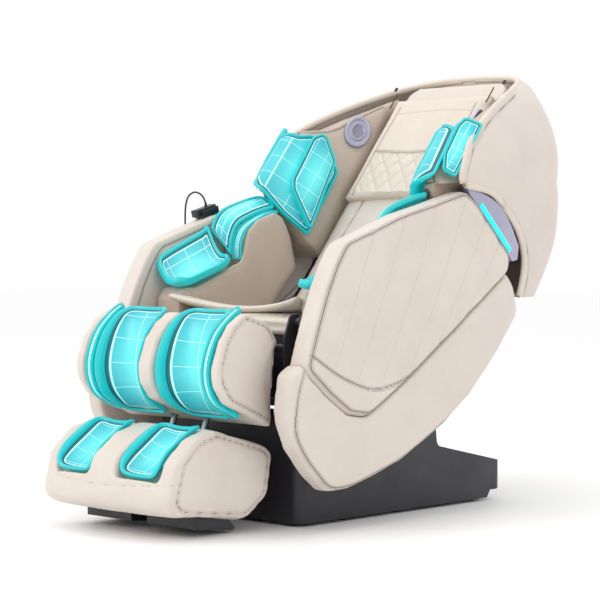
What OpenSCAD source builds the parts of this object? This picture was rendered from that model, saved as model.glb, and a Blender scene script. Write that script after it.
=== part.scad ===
// Full-body massage chair with zero-gravity tilt, reclining back and powered leg rest.
// +X is the sitter's left, the chair faces -Y, +Z is up, the floor is Z = 0.

/* [Chair] */
// Overall width over the quilted side panels
chair_w = 780; // [740:5:860]
// Clear width between the arm blocks
seat_w = 450; // [430:5:460]
// Width of the calf rest
calf_w = 530; // [480:5:534]
// Width of the foot unit
foot_w = 480; // [440:5:520]
// Width of the base
base_w = 536; // [500:5:540]
// Thickness of each side panel
panel_t = 68; // [50:1:74]

/* [Back] */
// Slope of the back pad from horizontal
back_angle = 51.3; // [50:0.1:53]
// Length of the back pad along the slope
back_len = 690; // [600:5:720]
// Width of the back pad
back_w = 400; // [380:5:404]
// Thickness of the back pad
back_t = 46; // [36:1:50]
// Width of the removable pillow cover
pillow_w = 368; // [340:4:384]
// Wall of the hood shell
hood_wall = 12; // [8:1:14]

/* [Seat] */
// Height of the seat deck above the floor
deck_z = 456; // [450:1:460]
// Thickness of the thin lip in front of the seat
lip_t = 20; // [14:1:24]

/* [Mechanism] */
// Radius of the tilt, recline and leg rest pins
pin_r = 9; // [7:0.5:10]
// Running clearance round a pin
run_gap = 0.08; // [0.04:0.01:0.1]
// Radius of the foot slide rods
rod_r = 8; // [6:0.5:9]
// Distance between the foot slide rods
rod_gap = 60; // [40:5:90]
// Radius of a rear transport wheel
wheel_r = 24; // [20:1:26]
// Width of a rear transport wheel
wheel_w = 22; // [16:1:28]
// Radius of a kneading disc
knead_r = 34; // [28:1:38]
// Distance between the two kneading discs
knead_gap = 150; // [120:5:180]
// Radius of the foot massage rollers
foot_roller_r = 20; // [16:1:22]

/* [Remote] */
// Length of the handset
handset_l = 76; // [70:2:90]
// Diameter of the handset cord
cord_d = 5; // [4:0.5:6]

/* [Hidden] */

$fn = 48;
arc_steps = 6;
half_w = chair_w / 2;
panel_in = half_w - panel_t;
arm_in = seat_w / 2;
calf_half = calf_w / 2;
foot_half = foot_w / 2;
base_half = base_w / 2;
seam = 0.3;

// Joint centres in the side view, [y, z]
tilt_at = [0, 300];
recline_at = [190, 480];
legrest_at = [-320, 520];
wheel_at = [478, 26];
// Foot of the back pad, where the seat meets it
back_foot = [95, 505];
// Direction of the foot unit's slide from vertical
slide_lean = 20;

// Colours
leather = "#d9cfc6";
shade = "#c8b8a8";
black = "#232128";
steel = "#8c8f94";
cyan = "#3fdfe0";
silver = "#a8a6b8";
glow = "#45f5dc";

// ---------- helpers ----------
function unit(v) = v / norm(v);

// Arc of radius r that rounds corner b between a and c
function corner_arc(a, b, c, r) =
    let (u = unit(a - b), w = unit(c - b), half = acos(u * w) / 2)
    let (centre = b + unit(u + w) * r / sin(half))
    let (p = b + u * r / tan(half) - centre, q = b + w * r / tan(half) - centre)
    let (start = atan2(p.y, p.x), turn = atan2(q.y, q.x) - start)
    let (sweep = turn > 180 ? turn - 360 : turn < -180 ? turn + 360 : turn)
    [for (i = [0 : arc_steps]) let (t = start + sweep * i / arc_steps) centre + r * [cos(t), sin(t)]];

// Closed outline from corners given as [y, z, radius]
function rounded(pts) =
    [for (i = [0 : len(pts) - 1])
        let (a = pts[(i + len(pts) - 1) % len(pts)], b = pts[i], c = pts[(i + 1) % len(pts)])
        each (b[2] > 0 ? corner_arc([a.x, a.y], [b.x, b.y], [c.x, c.y], b[2]) : [[b.x, b.y]])];

// Side-view shape drawn in (y, z), made solid from x0 to x1
module across(x0, x1) { translate([x0, 0, 0]) rotate([90, 0, 90]) linear_extrude(x1 - x0) children(); }

// Children on the +X side, mirrored for the -X side
module on_side(left) { mirror([left ? 0 : 1, 0, 0]) children(); }

module both_sides() { for (left = [true, false]) on_side(left) children(); }

// Children in the back's own frame: x across, y up the slope, z out of the pad
module on_back() { translate([0, back_foot.x, back_foot.y]) rotate([back_angle, 0, 0]) children(); }

// Children in the foot slide's own frame: z along the slide, upwards
module on_slide() { translate([0, -415, 300]) rotate([-slide_lean, 0, 0]) children(); }

// Cylinder along X centred on [y, z]
module bar(at, r, x0, x1) { translate([x0, at.x, at.y]) rotate([0, 90, 0]) cylinder(r = r, h = x1 - x0); }

module block(x0, x1, y0, y1, z0, z1) { translate([x0, y0, z0]) cube([x1 - x0, y1 - y0, z1 - z0]); }

// Solid skinned over a list of rings that all have the same number of points
module loft(rings) {
    n = len(rings[0]);
    last = len(rings) - 1;
    polyhedron(points = [for (ring = rings) each ring],
        faces = [[for (k = [0 : n - 1]) k],
                 [for (k = [n - 1 : -1 : 0]) last * n + k],
                 for (i = [0 : last - 1]) for (k = [0 : n - 1])
                     let (a = i * n + k, b = i * n + (k + 1) % n)
                     each [[a, a + n, b], [b, a + n, b + n]]]);
}

// Smooth value between v1 and v2 with neighbours v0 and v3
function smooth_step(v0, v1, v2, v3, t) =
    0.5 * (2 * v1 + (v2 - v0) * t + (2 * v0 - 5 * v1 + 4 * v2 - v3) * t * t
           + (3 * v1 - v0 - 3 * v2 + v3) * t * t * t);

function smoothed(list, steps) =
    [for (i = [0 : len(list) - 2]) for (s = [0 : steps - 1])
        smooth_step(list[max(i - 1, 0)], list[i], list[i + 1], list[min(i + 2, len(list) - 1)], s / steps),
     list[len(list) - 1]];

// ---------- base ----------
rail_x = 200;
rail_w = 40;
rail_z = [22, 56];
base_y = [-300, 518];
cover_wall = 4;
ear_x = 215;
ear_t = 8;
base_side = [[-300, 8, 0], [448, 8, 0], [462, 28, 0], [503, 28, 8], [518, 105, 18], [233, 168, 20],
             [226, 226, 14], [-20, 226, 20], [-90, 288, 20], [-300, 288, 30]];
base_inside = [[-296, 0, 0], [444, 0, 0], [458, 33, 0], [498, 33, 0], [512, 100, 14], [229, 163, 20],
               [222, 222, 10], [-22, 222, 20], [-92, 284, 20], [-296, 284, 26]];
base_corner = 34;
foot_spots = [[-262, 0], [420, 0]];

module base_plan(inset) {
    y0 = base_y[0] + inset;
    y1 = base_y[1] - inset;
    x = base_half - inset;
    r = base_corner - inset;
    linear_extrude(400) polygon(rounded([[-x, y0, r], [x, y0, r], [x, y1, r], [-x, y1, r]]));
}

module base_frame() {
    color(black) {
        both_sides() {
            block(rail_x - rail_w / 2, rail_x + rail_w / 2, -275, 440, rail_z[0], rail_z[1]);
            difference() {
                across(ear_x - ear_t, ear_x)
                    polygon(rounded([[-70, rail_z[1], 0], [70, rail_z[1], 0], [22, 322, 20], [-22, 322,
                                                            20]]));
                bar(tilt_at, pin_r, ear_x - 2 * ear_t, ear_x + ear_t);
            }
        }
        for (y = [-275, -170, 0, 400]) {
            block(-rail_x + rail_w / 2, rail_x - rail_w / 2, y, y + 40, rail_z[0], rail_z[1]);
        }
        // Clevis that carries the foot of the tilt actuator
        both_sides() across(clevis_x, clevis_x + 6)
            polygon(rounded([[-170, rail_z[1], 0], [-130, rail_z[1], 0], [tilt_low.x + 14,
                                                            tilt_low.y + 14, 12],
                             [tilt_low.x - 14, tilt_low.y + 14, 12]]));
        bar(tilt_low, eye_pin_r, -clevis_x - 6, clevis_x + 6);
    }
}

module base_cover() {
    color(black) difference() {
        intersection() {
            across(-base_half, base_half) polygon(rounded(base_side));
            base_plan(0);
        }
        intersection() {
            across(-base_half + cover_wall, base_half - cover_wall) polygon(rounded(base_inside));
            base_plan(cover_wall);
        }
        // Open top that the pivot ears and the actuator pass through
        block(-ear_x - 20, ear_x + 20, -240, 90, 205, 300);
        // Rear panel cut-out for the power box
        block(-power_w / 2, power_w / 2, 480, 530, power_z, power_z + power_h);
        // Wells for the transport wheels
        both_sides() block(wheel_x - wheel_w / 2 - 4, wheel_x + wheel_w / 2 + 4, 446, 530, 0, 56);
    }
}

module base_feet() {
    color(black) both_sides() for (spot = foot_spots)
        translate([rail_x, spot.x, 0]) cylinder(r = 18, h = rail_z[0]);
}

power_w = 110;
power_h = 44;
power_z = 62;
power_y = [452, 514];
switch_x = 30;
inlet_x = -24;
switch_w = 15;
switch_h = 22;

module power_box() {
    color(black) difference() {
        block(-power_w / 2 + seam, power_w / 2 - seam, power_y[0], power_y[1], power_z + seam,
              power_z + power_h - seam);
        block(switch_x - switch_w / 2 - 1, switch_x + switch_w / 2 + 1, power_y[1] - 16, power_y[1] + 1,
              power_z + 10, power_z + 12 + switch_h);
        block(inlet_x - 14, inlet_x + 14, power_y[1] - 22, power_y[1] + 1, power_z + 12, power_z + 32);
    }
    color(steel) bar([power_y[1] - 8, power_z + 11 + switch_h / 2], 1.5, switch_x - switch_w / 2 - 1,
                     switch_x + switch_w / 2 + 1);
}

module power_inlet() {
    color("#3a3a40") difference() {
        block(inlet_x - 13.7, inlet_x + 13.7, power_y[1] - 21.7, power_y[1] + 1.5, power_z + 12.3,
              power_z + 31.7);
        block(inlet_x - 11, inlet_x + 11, power_y[1] - 16, power_y[1] + 2, power_z + 15, power_z + 29);
    }
    color(steel) for (x = [-6, 0, 6])
        block(inlet_x + x - 1, inlet_x + x + 1, power_y[1] - 17, power_y[1] - 3, power_z + 20,
              power_z + 24);
}

module power_switch() {
    z = power_z + 11 + switch_h / 2;
    color("#b02020") difference() {
        across(switch_x - switch_w / 2, switch_x + switch_w / 2)
            polygon([[power_y[1] - 12, z - 6], [power_y[1], z - 10], [power_y[1] + 3, z - 9],
                     [power_y[1] + 1, z], [power_y[1] + 3, z + 9], [power_y[1], z + 10],
                         [power_y[1] - 12, z + 6]]);
        bar([power_y[1] - 8, z], 1.5 + run_gap, switch_x - switch_w, switch_x + switch_w);
    }
}

wheel_x = 178;
axle_r = 5;

module wheel(left) {
    color(black) on_side(left) difference() {
        bar(wheel_at, wheel_r, wheel_x - wheel_w / 2, wheel_x + wheel_w / 2);
        bar(wheel_at, axle_r + 0.05, wheel_x - wheel_w, wheel_x + wheel_w);
    }
}

// Each wheel turns on an axle held by two cheeks at the end of the base frame
module wheel_axles() {
    color(steel) both_sides() {
        bar(wheel_at, axle_r, wheel_x - wheel_w / 2 - 3, wheel_x + wheel_w / 2 + 3);
        for (x = [wheel_x - wheel_w / 2 - 3.6, wheel_x + wheel_w / 2 + 0.6])
            across(x, x + 3) polygon([[440, 34], [470, 20], [486, 20], [486, 36], [470, 50], [440, 50]]);
    }
}

module tilt_pin() { color(steel) bar(tilt_at, pin_r, -300, 300); }

// ---------- seat body ----------
frame_x = [276, 306];
frame_z = [400, 440];
frame_y = [-285, 200];
lug_t = 8;
deck_t = 8;
deck_half = 240;

module seat_frame() {
    color(black) {
        both_sides() {
            block(frame_x[0], frame_x[1], frame_y[0], frame_y[1], frame_z[0], frame_z[1]);
            // Tilt ear below the rail, recline ear above its rear end, leg rest ear above its front end
            difference() {
                across(frame_x[0], frame_x[0] + lug_t)
                    polygon(rounded([[-60, frame_z[0], 0], [-20, 280, 14], [20, 280, 14], [60,
                                                            frame_z[0], 0]]));
                bar(tilt_at, pin_r + run_gap, frame_x[0] - 1, frame_x[0] + lug_t + 1);
            }
            difference() {
                across(frame_x[0], frame_x[0] + lug_t)
                    polygon(rounded([[150, frame_z[1], 0], [frame_y[1], frame_z[1], 0], [210, 500, 14],
                                     [170, 500, 14]]));
                bar(recline_at, pin_r, frame_x[0] - 1, frame_x[0] + lug_t + 1);
            }
            difference() {
                across(frame_x[1] - lug_t, frame_x[1])
                    polygon(rounded([[frame_y[0], frame_z[1], 0], [-240, frame_z[1], 0], [-302, 540, 14],
                                     [-338, 536, 14],
                                     [-338, 504, 10]]));
                bar(legrest_at, pin_r, frame_x[1] - lug_t - 1, frame_x[1] + 1);
            }
        }
        for (y = [-270, -205, 60, 100]) block(-frame_x[0], frame_x[0], y, y + 30, frame_z[0] + 4,
                                              frame_z[1] - 4);
        // Battens and board under the seat pad, and spacers that carry the side panels
        for (y = [-205, 60]) block(-deck_half, deck_half, y, y + 30, frame_z[1] - 4,
                                   deck_z - deck_t - seam);
        block(-deck_half, deck_half, -255, 84, deck_z - deck_t - seam, deck_z - seam);
        both_sides() for (y = [-100, 100])
            block(frame_x[1], panel_in - seam, y, y + 40, frame_z[0] + 5, frame_z[1] - 5);
        // Clevis that the top of the tilt actuator pushes against
        both_sides() across(clevis_x - 2, clevis_x + 4)
            polygon(rounded([[-205, frame_z[0] + 5, 0], [tilt_high.x - 12, tilt_high.y - 12, 10],
                             [tilt_high.x + 12, tilt_high.y - 12, 10], [-175, frame_z[0] + 5, 0]]));
        bar(tilt_high, eye_pin_r, -clevis_x - 3, clevis_x + 3);
    }
}

deck = [[-262, deck_z, 4], [88, deck_z, 8], [84, 494, 14], [-120, 520, 0], [-262, 536, 10]];

module seat_pad() {
    color(leather) across(-arm_in + seam, arm_in - seam) polygon(rounded(deck));
}

// Thin lip that overhangs the front of the seat, high at both sides and low in the middle
lip_half = 236;
lip_rise = 26;
lip_back = [-150, 523.8];

function lip_ring(x) =
    let (s = abs(x) / lip_half, front = [-252 - 40 * s * s, 535.4 + (lip_rise + 4) * s * s])
    [[x, lip_back.x, lip_back.y], [x, lip_back.x, lip_back.y + 8],
     [x, front.x + 60, front.y + 11], [x, front.x + 12, front.y + lip_t * 0.8],
     [x, front.x, front.y + lip_t / 2], [x, front.x + 6, front.y]];

module seat_lip() {
    color(shade) difference() {
        loft([for (i = [-12 : 12]) lip_ring(lip_half * i / 12)]);
        both_sides() block(arm_in - seam, lip_half + 1, -264, 0, 400, 700);
    }
}

module seat_front_cover() {
    color(black) {
        across(-262, 262) polygon([[-296, 302], [-286, 302], [-286, 410], [-270.3, 410], [-270.3, 430],
                                   [-286, 430], [-286, 479.7],
                 [-296, 479.7]]);
    }
}

// Two padded rolls that close the gap between the lip and the leg rest
module seat_fascia() {
    color(leather) {
        across(-262, 262) polygon(rounded([[-300, 500, 12], [-266, 500, 0], [-266, 528, 0], [-300, 528,
                                                            12]]));
        across(-262, 262) polygon(rounded([[-304, 480, 9], [-266, 480, 0], [-266, 499.7, 0], [-304,
                                                            499.7, 9]]));
    }
}

module rear_lower_cover() {
    color(black) across(-panel_in + seam, panel_in - seam)
        polygon([[168, 274], [238, 322], [346, 424], [360, 440], [353, 445], [339, 430], [232, 328],
                 [164, 280]]);
}

upper_outline = [[-260, 715, 60], [-149, 752, 0], [-42, 789, 0], [72, 816, 0], [216, 854, 30], [262, 824,
                                                            20],
                 [406, 684, 18], [404, 640, 30], [314, 581, 0], [163, 481, 0], [18, 387, 0], [-80, 329, 0],
                 [-178, 276, 60], [-250, 288, 40], [-322, 336, 0], [-402, 402, 30], [-388, 446, 0],
                 [-362, 520, 0], [-330, 599, 0], [-296, 663, 0]];
lower_outline = [[-441, 396, 14], [-456, 308, 0], [-452, 280, 60], [-422, 212, 40], [-361, 142, 0],
                 [-308, 100, 30],
                 [-238, 102, 40], [-148, 124, 0], [-37, 158, 0], [128, 237, 60], [238, 310, 0], [353,
                                                            416, 60],
                 [450, 526, 26], [430, 600, 20], [395, 640, 0], [200, 600, 0], [-300, 420, 0], [-400,
                                                            420, 0]];
panel_edge = 16;

// Soft-cornered slab: the outer layer is the outline drawn in a little towards its middle
module padded_slab(outline, x0, x1, middle) {
    across(x0, x1 - panel_edge) polygon(outline);
    translate([0, middle.x, middle.y]) for (i = [0 : 2])
        across(x1 - panel_edge * (1 - i / 3) - 1, x1 - panel_edge * (2 - i) / 3)
            scale(1 - [0.008, 0.025, 0.05][i]) translate(-middle) polygon(outline);
}

module upper_panel(left) {
    color(leather) on_side(left) difference() {
        padded_slab(rounded(upper_outline), panel_in, half_w, [-20, 560]);
        // Rebate that the trim and the light strip sit in
        across(half_w - 42, half_w + 1) polygon(rounded(trim_rebate));
    }
}

module lower_panel(left) {
    color(leather) on_side(left) difference() {
        padded_slab(rounded(lower_outline), panel_in, half_w - 5, [-20, 380]);
        across(panel_in - 1, half_w) polygon(rounded(upper_outline));
    }
}

// The trim's top edge follows an arc about the recline pivot, so the hood passes just outside it
trim_r = 384;
sweep_r = trim_r + 7;
function about_pivot(r, angle) = recline_at + r * [sin(angle), cos(angle)];
trim_rebate = [[262, 826, 0], [280, 806, 0], [404, 683, 0], [440, 700, 0], [300, 860, 0]];
trim_outline = [each [for (a = [6 : 4 : 30]) about_pivot(trim_r, a)], [424, 756], [452, 706], [446, 668],
                [424, 664], [404.2, 683], [280, 806], [262, 824], [240, 842]];
trim_x = [half_w - 38, half_w - 14];

module arm_trims() {
    color(silver) both_sides() across(trim_x[0], trim_x[1]) difference() {
        polygon(trim_outline);
        polygon(rounded(upper_outline));
    }
}

module led_strips() {
    color(glow) both_sides() across(trim_x[1], trim_x[1] + 4)
        polygon(rounded([[276, 812, 0], [404, 690, 0], [412, 700, 3], [286, 822, 3]]));
}

arm_out = panel_in - seam;
arm_side = [[-262, 456, 0], [-262, 566, 20], [-236, 598, 20], [-190, 606, 0], [-76, 652, 10], [-24, 668, 10],
            [-8, 704, 10], [6, 752, 20], [44, 786, 30], [112, 806, 20], [150, 792, 20], [184, 730, 20],
            [206, 640, 20], [112, 540, 10], [112, 456, 0]];

// Leather wall left standing on the seat side of the forearm cell
hump_t = 16;
scoop_bed = [[-270, 604], [-200, 596], [-62, 650]];
scoop_over = 13;
scoop_wall = 12;
scoop_y = [-252, -64];
function on_bed(y) =
    let (a = y < scoop_bed[1].x ? scoop_bed[0] : scoop_bed[2], b = scoop_bed[1])
    [y, b.y + (a.y - b.y) * (y - b.x) / (a.x - b.x)];

module arm_block(left) {
    color(leather) on_side(left) difference() {
        across(arm_in, arm_out) polygon(rounded(arm_side));
        // Shallow bed for the hand scoop and for the forearm cell
        across(arm_in - 1, arm_out + 1)
            polygon([each scoop_bed, scoop_bed[2] + [0, 300], scoop_bed[0] + [0, 300]]);
        across(arm_in + hump_t, arm_out + 1)
            polygon([[-62, 648], [-3.7, 648], [-3.7, 745.1], [40, 767.7], [100, 782.7], [132, 786.7], [260, 786.7],
                     [260, 950], [-62, 950]]);
        // Frame rail and rear ear pass under and behind the block
        block(frame_x[1] - lug_t - 2, frame_x[1] + 2, -270, -232, 440, 500);
    }
}

// Hand scoop: a shallow trough with raised edges, open towards the front
module hand_cells() {
    color(cyan) both_sides() {
        difference() {
            across(arm_in - scoop_over, arm_out - 4)
                polygon(rounded([[each on_bed(scoop_y[0]), 6], [each scoop_bed[1], 0], [each on_bed(scoop_y[1]), 6],
                                 [scoop_y[1], 726, 8], [-204, 684, 20], [scoop_y[0] - 2, 650, 8]]));
            across(arm_in - scoop_over + scoop_wall, arm_out - 14)
                polygon(rounded([[-300, 646, 0], [-200, 610, 30], [scoop_y[1] - 6, 664, 6], [scoop_y[1] - 6, 800, 0],
                                 [-300, 800, 0]]));
        }
    }
}

// Forearm cell: a padded saddle over the arm block, with a second lower layer on the seat side
saddle_low = [[-44, 660], [-42, 706], [-18, 752], [40, 782], [100, 797], [132, 801]];
saddle_last = len(saddle_low) - 1;
module saddle(x0, x1, rise, depth) {
    under = [for (i = [saddle_last : -1 : 0])
                 saddle_low[i] + (i < 2 ? [depth, rise] : [0, rise - depth])];
    across(x0, x1) polygon([each [for (p = saddle_low) p + [0, rise]], each under]);
}

module arm_cells() {
    color(cyan) both_sides() {
        saddle(arm_in + hump_t + 1, arm_in + 36, 0, 14);
        saddle(arm_in + 36, arm_out - 6, 26, 38);
    }
}

// ---------- remote control ----------
remote_x = -(half_w - 34);
remote_at = [-62, 783.3];
remote_lean = 16;
holder_l = handset_l - 10;
button_y = -2;
button_r = 4.6;

module at_remote() { translate([remote_x, remote_at.x, remote_at.y]) rotate([remote_lean, 0,
                                                            0]) children(); }

module remote_holder() {
    color(black) at_remote() difference() {
        translate([-17, 0, 0]) cube([34, holder_l, 20]);
        translate([-13, -1, 6]) cube([26, holder_l - 2, 20]);
    }
}

module remote_handset() {
    color(black) at_remote() difference() {
        translate([-12.7, -14, 6 + seam]) cube([25.4, handset_l, 20]);
        translate([0, button_y, 20]) cylinder(r = button_r + 0.4, h = 8);
    }
}

module remote_button() {
    color(steel) at_remote() translate([0, button_y, 22]) cylinder(r = button_r, h = 5.4);
}

cord_route = [[-356, -36, 816], [-356, -38, 828], [-359, -42, 842], [-367, -48, 853], [-380, -56, 858],
              [-393, -63, 851], [-401, -67, 836], [-404, -70, 812], [-405, -70, 780], [-405, -70, 748],
              [-404, -70, 730], [-399.5, -70, 721], [-395, -70, 718]];

function ring_at(p, dir, r, n) =
    let (u = unit(dir), a = unit(cross(u, [0, 1, 0.2])), b = cross(u, a))
    [for (k = [0 : n - 1]) p + r * (cos(360 * k / n) * a + sin(360 * k / n) * b)];

module remote_cord() {
    path = smoothed(cord_route, 3);
    last = len(path) - 1;
    color(black) loft([for (i = [0 : last])
        ring_at(path[i], path[min(i + 1, last)] - path[max(i - 1, 0)], cord_d / 2, 8)]);
}

module cord_grommet() {
    color(black) translate([-395, -70, 718]) rotate([0, 90, 0]) cylinder(r = 8, h = 395 - half_w);
}

// ---------- inside the seat ----------
module air_pump() {
    color("#555a60") {
        block(-190, -50, -220, -90, 352, frame_z[0] + 3.7);
        for (x = [-165, -120, -75]) translate([x, -85, 380]) rotate([90, 0, 0]) cylinder(r = 6, h = 10);
    }
}

module control_board() {
    color("#2e6b3a") difference() {
        block(50, 190, -220, -90, 372, frame_z[0] + 3.7);
        for (x = [70, 100, 130]) block(x, x + 18, -100, -80, 380, 392);
    }
}

module recline_pins() {
    color(steel) both_sides() bar(recline_at, pin_r, 222, frame_x[0] + lug_t + 4);
}

module legrest_pins() {
    color(steel) both_sides() bar(legrest_at, pin_r, calf_half + 3, frame_x[1] + 3);
}

// Linear actuator that tilts the seat body on the base
tilt_low = [-150, 110];
tilt_high = [-190, 385];
clevis_x = 18;
eye_pin_r = 6;
eye_r = 15;
actuator_l = norm(tilt_high - tilt_low);
actuator_lean = atan2(tilt_low.x - tilt_high.x, tilt_high.y - tilt_low.y);
tube_r = 21;
tube_l = 180;
actuator_rod_r = 10;
// Slack in the rod's eye, because the eye only follows its pin to within a millimetre
eye_slack = 1.4;

// Children in the actuator's own frame: z runs from its lower pivot to its upper one
module on_actuator() { translate([0, tilt_low.x, tilt_low.y]) rotate([actuator_lean, 0, 0]) children(); }

module tilt_actuator_tube() {
    color("#6a6e74") on_actuator() difference() {
        union() {
            bar([0, 0], eye_r, -clevis_x + 1, clevis_x - 1);
            translate([-clevis_x + 1, -10, 0]) cube([2 * clevis_x - 2, 20, 30]);
            translate([0, 0, 28]) cylinder(r = tube_r, h = tube_l - 28);
            translate([0, 0, 40]) cube([62, 36, 60]);
        }
        bar([0, 0], eye_pin_r + run_gap, -clevis_x, clevis_x);
        translate([0, 0, 60]) cylinder(r = actuator_rod_r + run_gap, h = tube_l);
    }
}

module tilt_actuator_rod() {
    color(steel) on_actuator() difference() {
        union() {
            translate([0, 0, 70]) cylinder(r = actuator_rod_r, h = actuator_l - 70);
            translate([0, 0, actuator_l]) bar([0, 0], eye_r - 2, -actuator_rod_r, actuator_rod_r);
        }
        translate([0, 0, actuator_l]) bar([0, 0], eye_pin_r + eye_slack, -clevis_x, clevis_x);
    }
}

// ---------- backrest ----------
// Hood rings: half width, front edge [y, z], rear centre [y, z]
hood_rings = [[368, 462, 566, 580, 566], [371, 480, 640, 640, 640], [374, 474, 702, 690, 716],
              [378, 430, 772, 716, 780], [381, 330, 852, 738, 846], [384, 203, 876, 748, 884],
              [380, 215, 936, 757, 936], [368, 258, 998, 759, 985], [334, 372, 1069, 757, 1045],
              [276, 537, 1138, 736, 1122], [208, 662, 1182, 712, 1176], [110, 690, 1196, 706, 1190],
              [24, 694, 1199, 708, 1192]];
hood_power = 5;
hood_steps = 14;

function hood_point(ring, wall, angle) =
    let (k = 2 / hood_power, c = cos(angle), s = sin(angle))
    let (front = [ring[1], ring[2]], rear = [ring[3], ring[4]], depth = norm(rear - front))
    let (p = front + (rear - front) * (1 - min(wall, depth * 0.6) / depth) * pow(s, k))
    [(ring[0] - wall) * sign(c) * pow(abs(c), k), p.x, p.y];

function hood_outside(ring) = [for (j = [0 : hood_steps]) hood_point(ring, 0, 180 * j / hood_steps)];

// The hollow's ring, carried on past the front edge so that it cuts the hood open
function hood_inside(ring) =
    let (front = [ring[1], ring[2]], out = front + 80 * unit(front - [ring[3], ring[4]]),
         x = ring[0] - hood_wall)
    [[x, out.x, out.y], each [for (j = [0 : hood_steps]) hood_point(ring, hood_wall, 180 * j / hood_steps)],
     [-x, out.x, out.y]];

hood_floor = 12;
module hood_shell() {
    rings = smoothed(hood_rings, 2);
    open_rings = [for (i = [0 : 20]) i == 0 ? rings[0] + [0, 0, hood_floor, 0, hood_floor] : rings[i]];
    color(leather) difference() {
        loft([for (ring = rings) hood_outside(ring)]);
        loft([for (ring = open_rings) hood_inside(ring)]);
    }
}

back_half = back_w / 2;
pad_face = -6;

module back_pad() {
    color(leather) on_back() translate([-back_half, 14, pad_face - back_t]) cube([back_w, back_len,
                                                            back_t]);
}

pillow_t = 24;
pillow_y = [418, 800];
module pillow_cover() {
    color(leather) on_back() {
        translate([-pillow_w / 2, pillow_y[0], pad_face + seam])
            cube([pillow_w, pillow_y[1] - pillow_y[0], pillow_t]);
    }
}

// Side wings: padded wedges that stand forward beside the shoulders and the head.
// Three outlines bound them: from above (x, h), from the side (y, h) and along the hood (x, y).
wing_in = back_half + 4;
wing_foot = -52;
face_lean = atan2(81, 173);
wing_section = [[wing_in, wing_foot], [wing_in, 14], [wing_in + 198 * tan(face_lean), 212], [356, 212],
                [356, wing_foot]];
wing_side = [[244, wing_foot, 0], [246, 20, 20], [300, 190, 30], [340, 208, 20], [512, 208, 30], [552,
                                                            176, 20],
             [600, 126, 20], [680, 84, 0], [770, 34, 0], [836, -8, 10], [836, wing_foot, 0]];
wing_plan = [[0, 240], [356, 240], [356, 470], [336, 548], [316, 606], [290, 676], [252, 752], [212,
                                                            836], [0, 836]];

module wing(left) {
    color(shade) on_back() on_side(left) intersection() {
        translate([0, 900, 0]) rotate([90, 0, 0]) linear_extrude(900) polygon(wing_section);
        across(0, 400) polygon(rounded(wing_side));
        translate([0, 0, wing_foot]) linear_extrude(400) polygon(wing_plan);
        // Beside the side panels the wing keeps outside the circle that their tops lie in
        difference() {
            translate([0, 0, -100]) cube([400, 900, 400]);
            translate([panel_in - 4, pivot_local.x, pivot_local.y]) rotate([0, 90,
                                                            0]) cylinder(r = sweep_r, h = 100, $fn = 96);
        }
    }
}

// Children on the sloping inner face of a wing: x runs up the face, y along the back, z out of the face
module on_wing_face() { translate([wing_in, 0, 14]) rotate([0, -90 + face_lean, 0]) children(); }

module head_liner() {
    color(leather) on_back() translate([0, 0, -70])
        linear_extrude(56) polygon(rounded([[-200, 766.3, 6], [200, 766.3, 6], [176, 872, 40], [-176,
                                                            872, 40]]));
}

speaker_at = [48, 640];
speaker_r = 40;
speaker_t = 8;
module speakers() {
    color(silver) on_back() both_sides() on_wing_face() translate([speaker_at.x, speaker_at.y, seam])
        scale([1, 1.3, 1]) difference() {
            cylinder(r = speaker_r, h = speaker_t);
            translate([0, 0, speaker_t - 3]) difference() {
                cylinder(r = speaker_r - 7, h = 4);
                cylinder(r = speaker_r - 18, h = 4);
            }
        }
}

cell_t = 24;
cell_low = [[32, 258, 8], [36, 330, 0], [40, 480, 20], [110, 545, 30], [168, 527, 20], [200, 495, 20],
            [204, 330, 26], [190, 292, 20], [128, 270, 10]];
cell_high = [[36, 262, 8], [145, 334, 16], [160, 362, 20], [168, 510, 20], [150, 538, 14], [128, 540, 14],
             [68, 492, 20]];
module shoulder_cells() {
    color(cyan) on_back() both_sides() on_wing_face() translate([0, 0, seam]) {
        linear_extrude(cell_t) polygon(rounded(cell_low));
        linear_extrude(2 * cell_t) polygon(rounded(cell_high));
    }
}

// Two C-shaped tracks guide the roller carriage; flanges carry the pad and the wings
track_x = 120;
track_w = 20;
track_y = [24, 740];
track_h = [-132, -96];
slot_w = 12;
side_rail_x = 228;
side_rail_w = 20;
flange_x = [150, 248];
bracket_x = 364.7;

module back_frame() {
    color(black) on_back() {
        both_sides() {
            difference() {
                translate([track_x, track_y[0], track_h[0]])
                    cube([track_w, track_y[1] - track_y[0], track_h[1] - track_h[0]]);
                translate([track_x - 1, track_y[0] + 60, guide_h - slot_w / 2])
                    cube([track_w - 5, track_y[1] - track_y[0] - 100, slot_w]);
            }
            difference() {
                translate([side_rail_x, 0, -112]) cube([side_rail_w, track_y[1], 112 + wing_foot - seam]);
                translate([0, pivot_local.x, pivot_local.y]) rotate([0, 90,
                                                            0]) cylinder(r = pin_r + run_gap, h = 400);
            }
            translate([flange_x[0], 30, wing_foot - seam - 4]) cube([side_rail_x - flange_x[0], 690, 4]);
            translate([track_x + track_w, 380, -112]) cube([side_rail_x - track_x - track_w, 20, 16]);
            // Outrigger that holds the hood
            translate([side_rail_x + side_rail_w, 450, -112])
                cube([bracket_x - side_rail_x - side_rail_w, 30, 20]);
        }
        for (y = [0, track_y[1]])
            translate([-side_rail_x - side_rail_w, y, track_h[0]])
                cube([2 * (side_rail_x + side_rail_w), 26, y > 0 ? 64 : 36]);
    }
}

// Recline pivot in the back's own frame
pivot_rel = recline_at - back_foot;
pivot_local = [pivot_rel.x * cos(back_angle) + pivot_rel.y * sin(back_angle),
               pivot_rel.y * cos(back_angle) - pivot_rel.x * sin(back_angle)];

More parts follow.
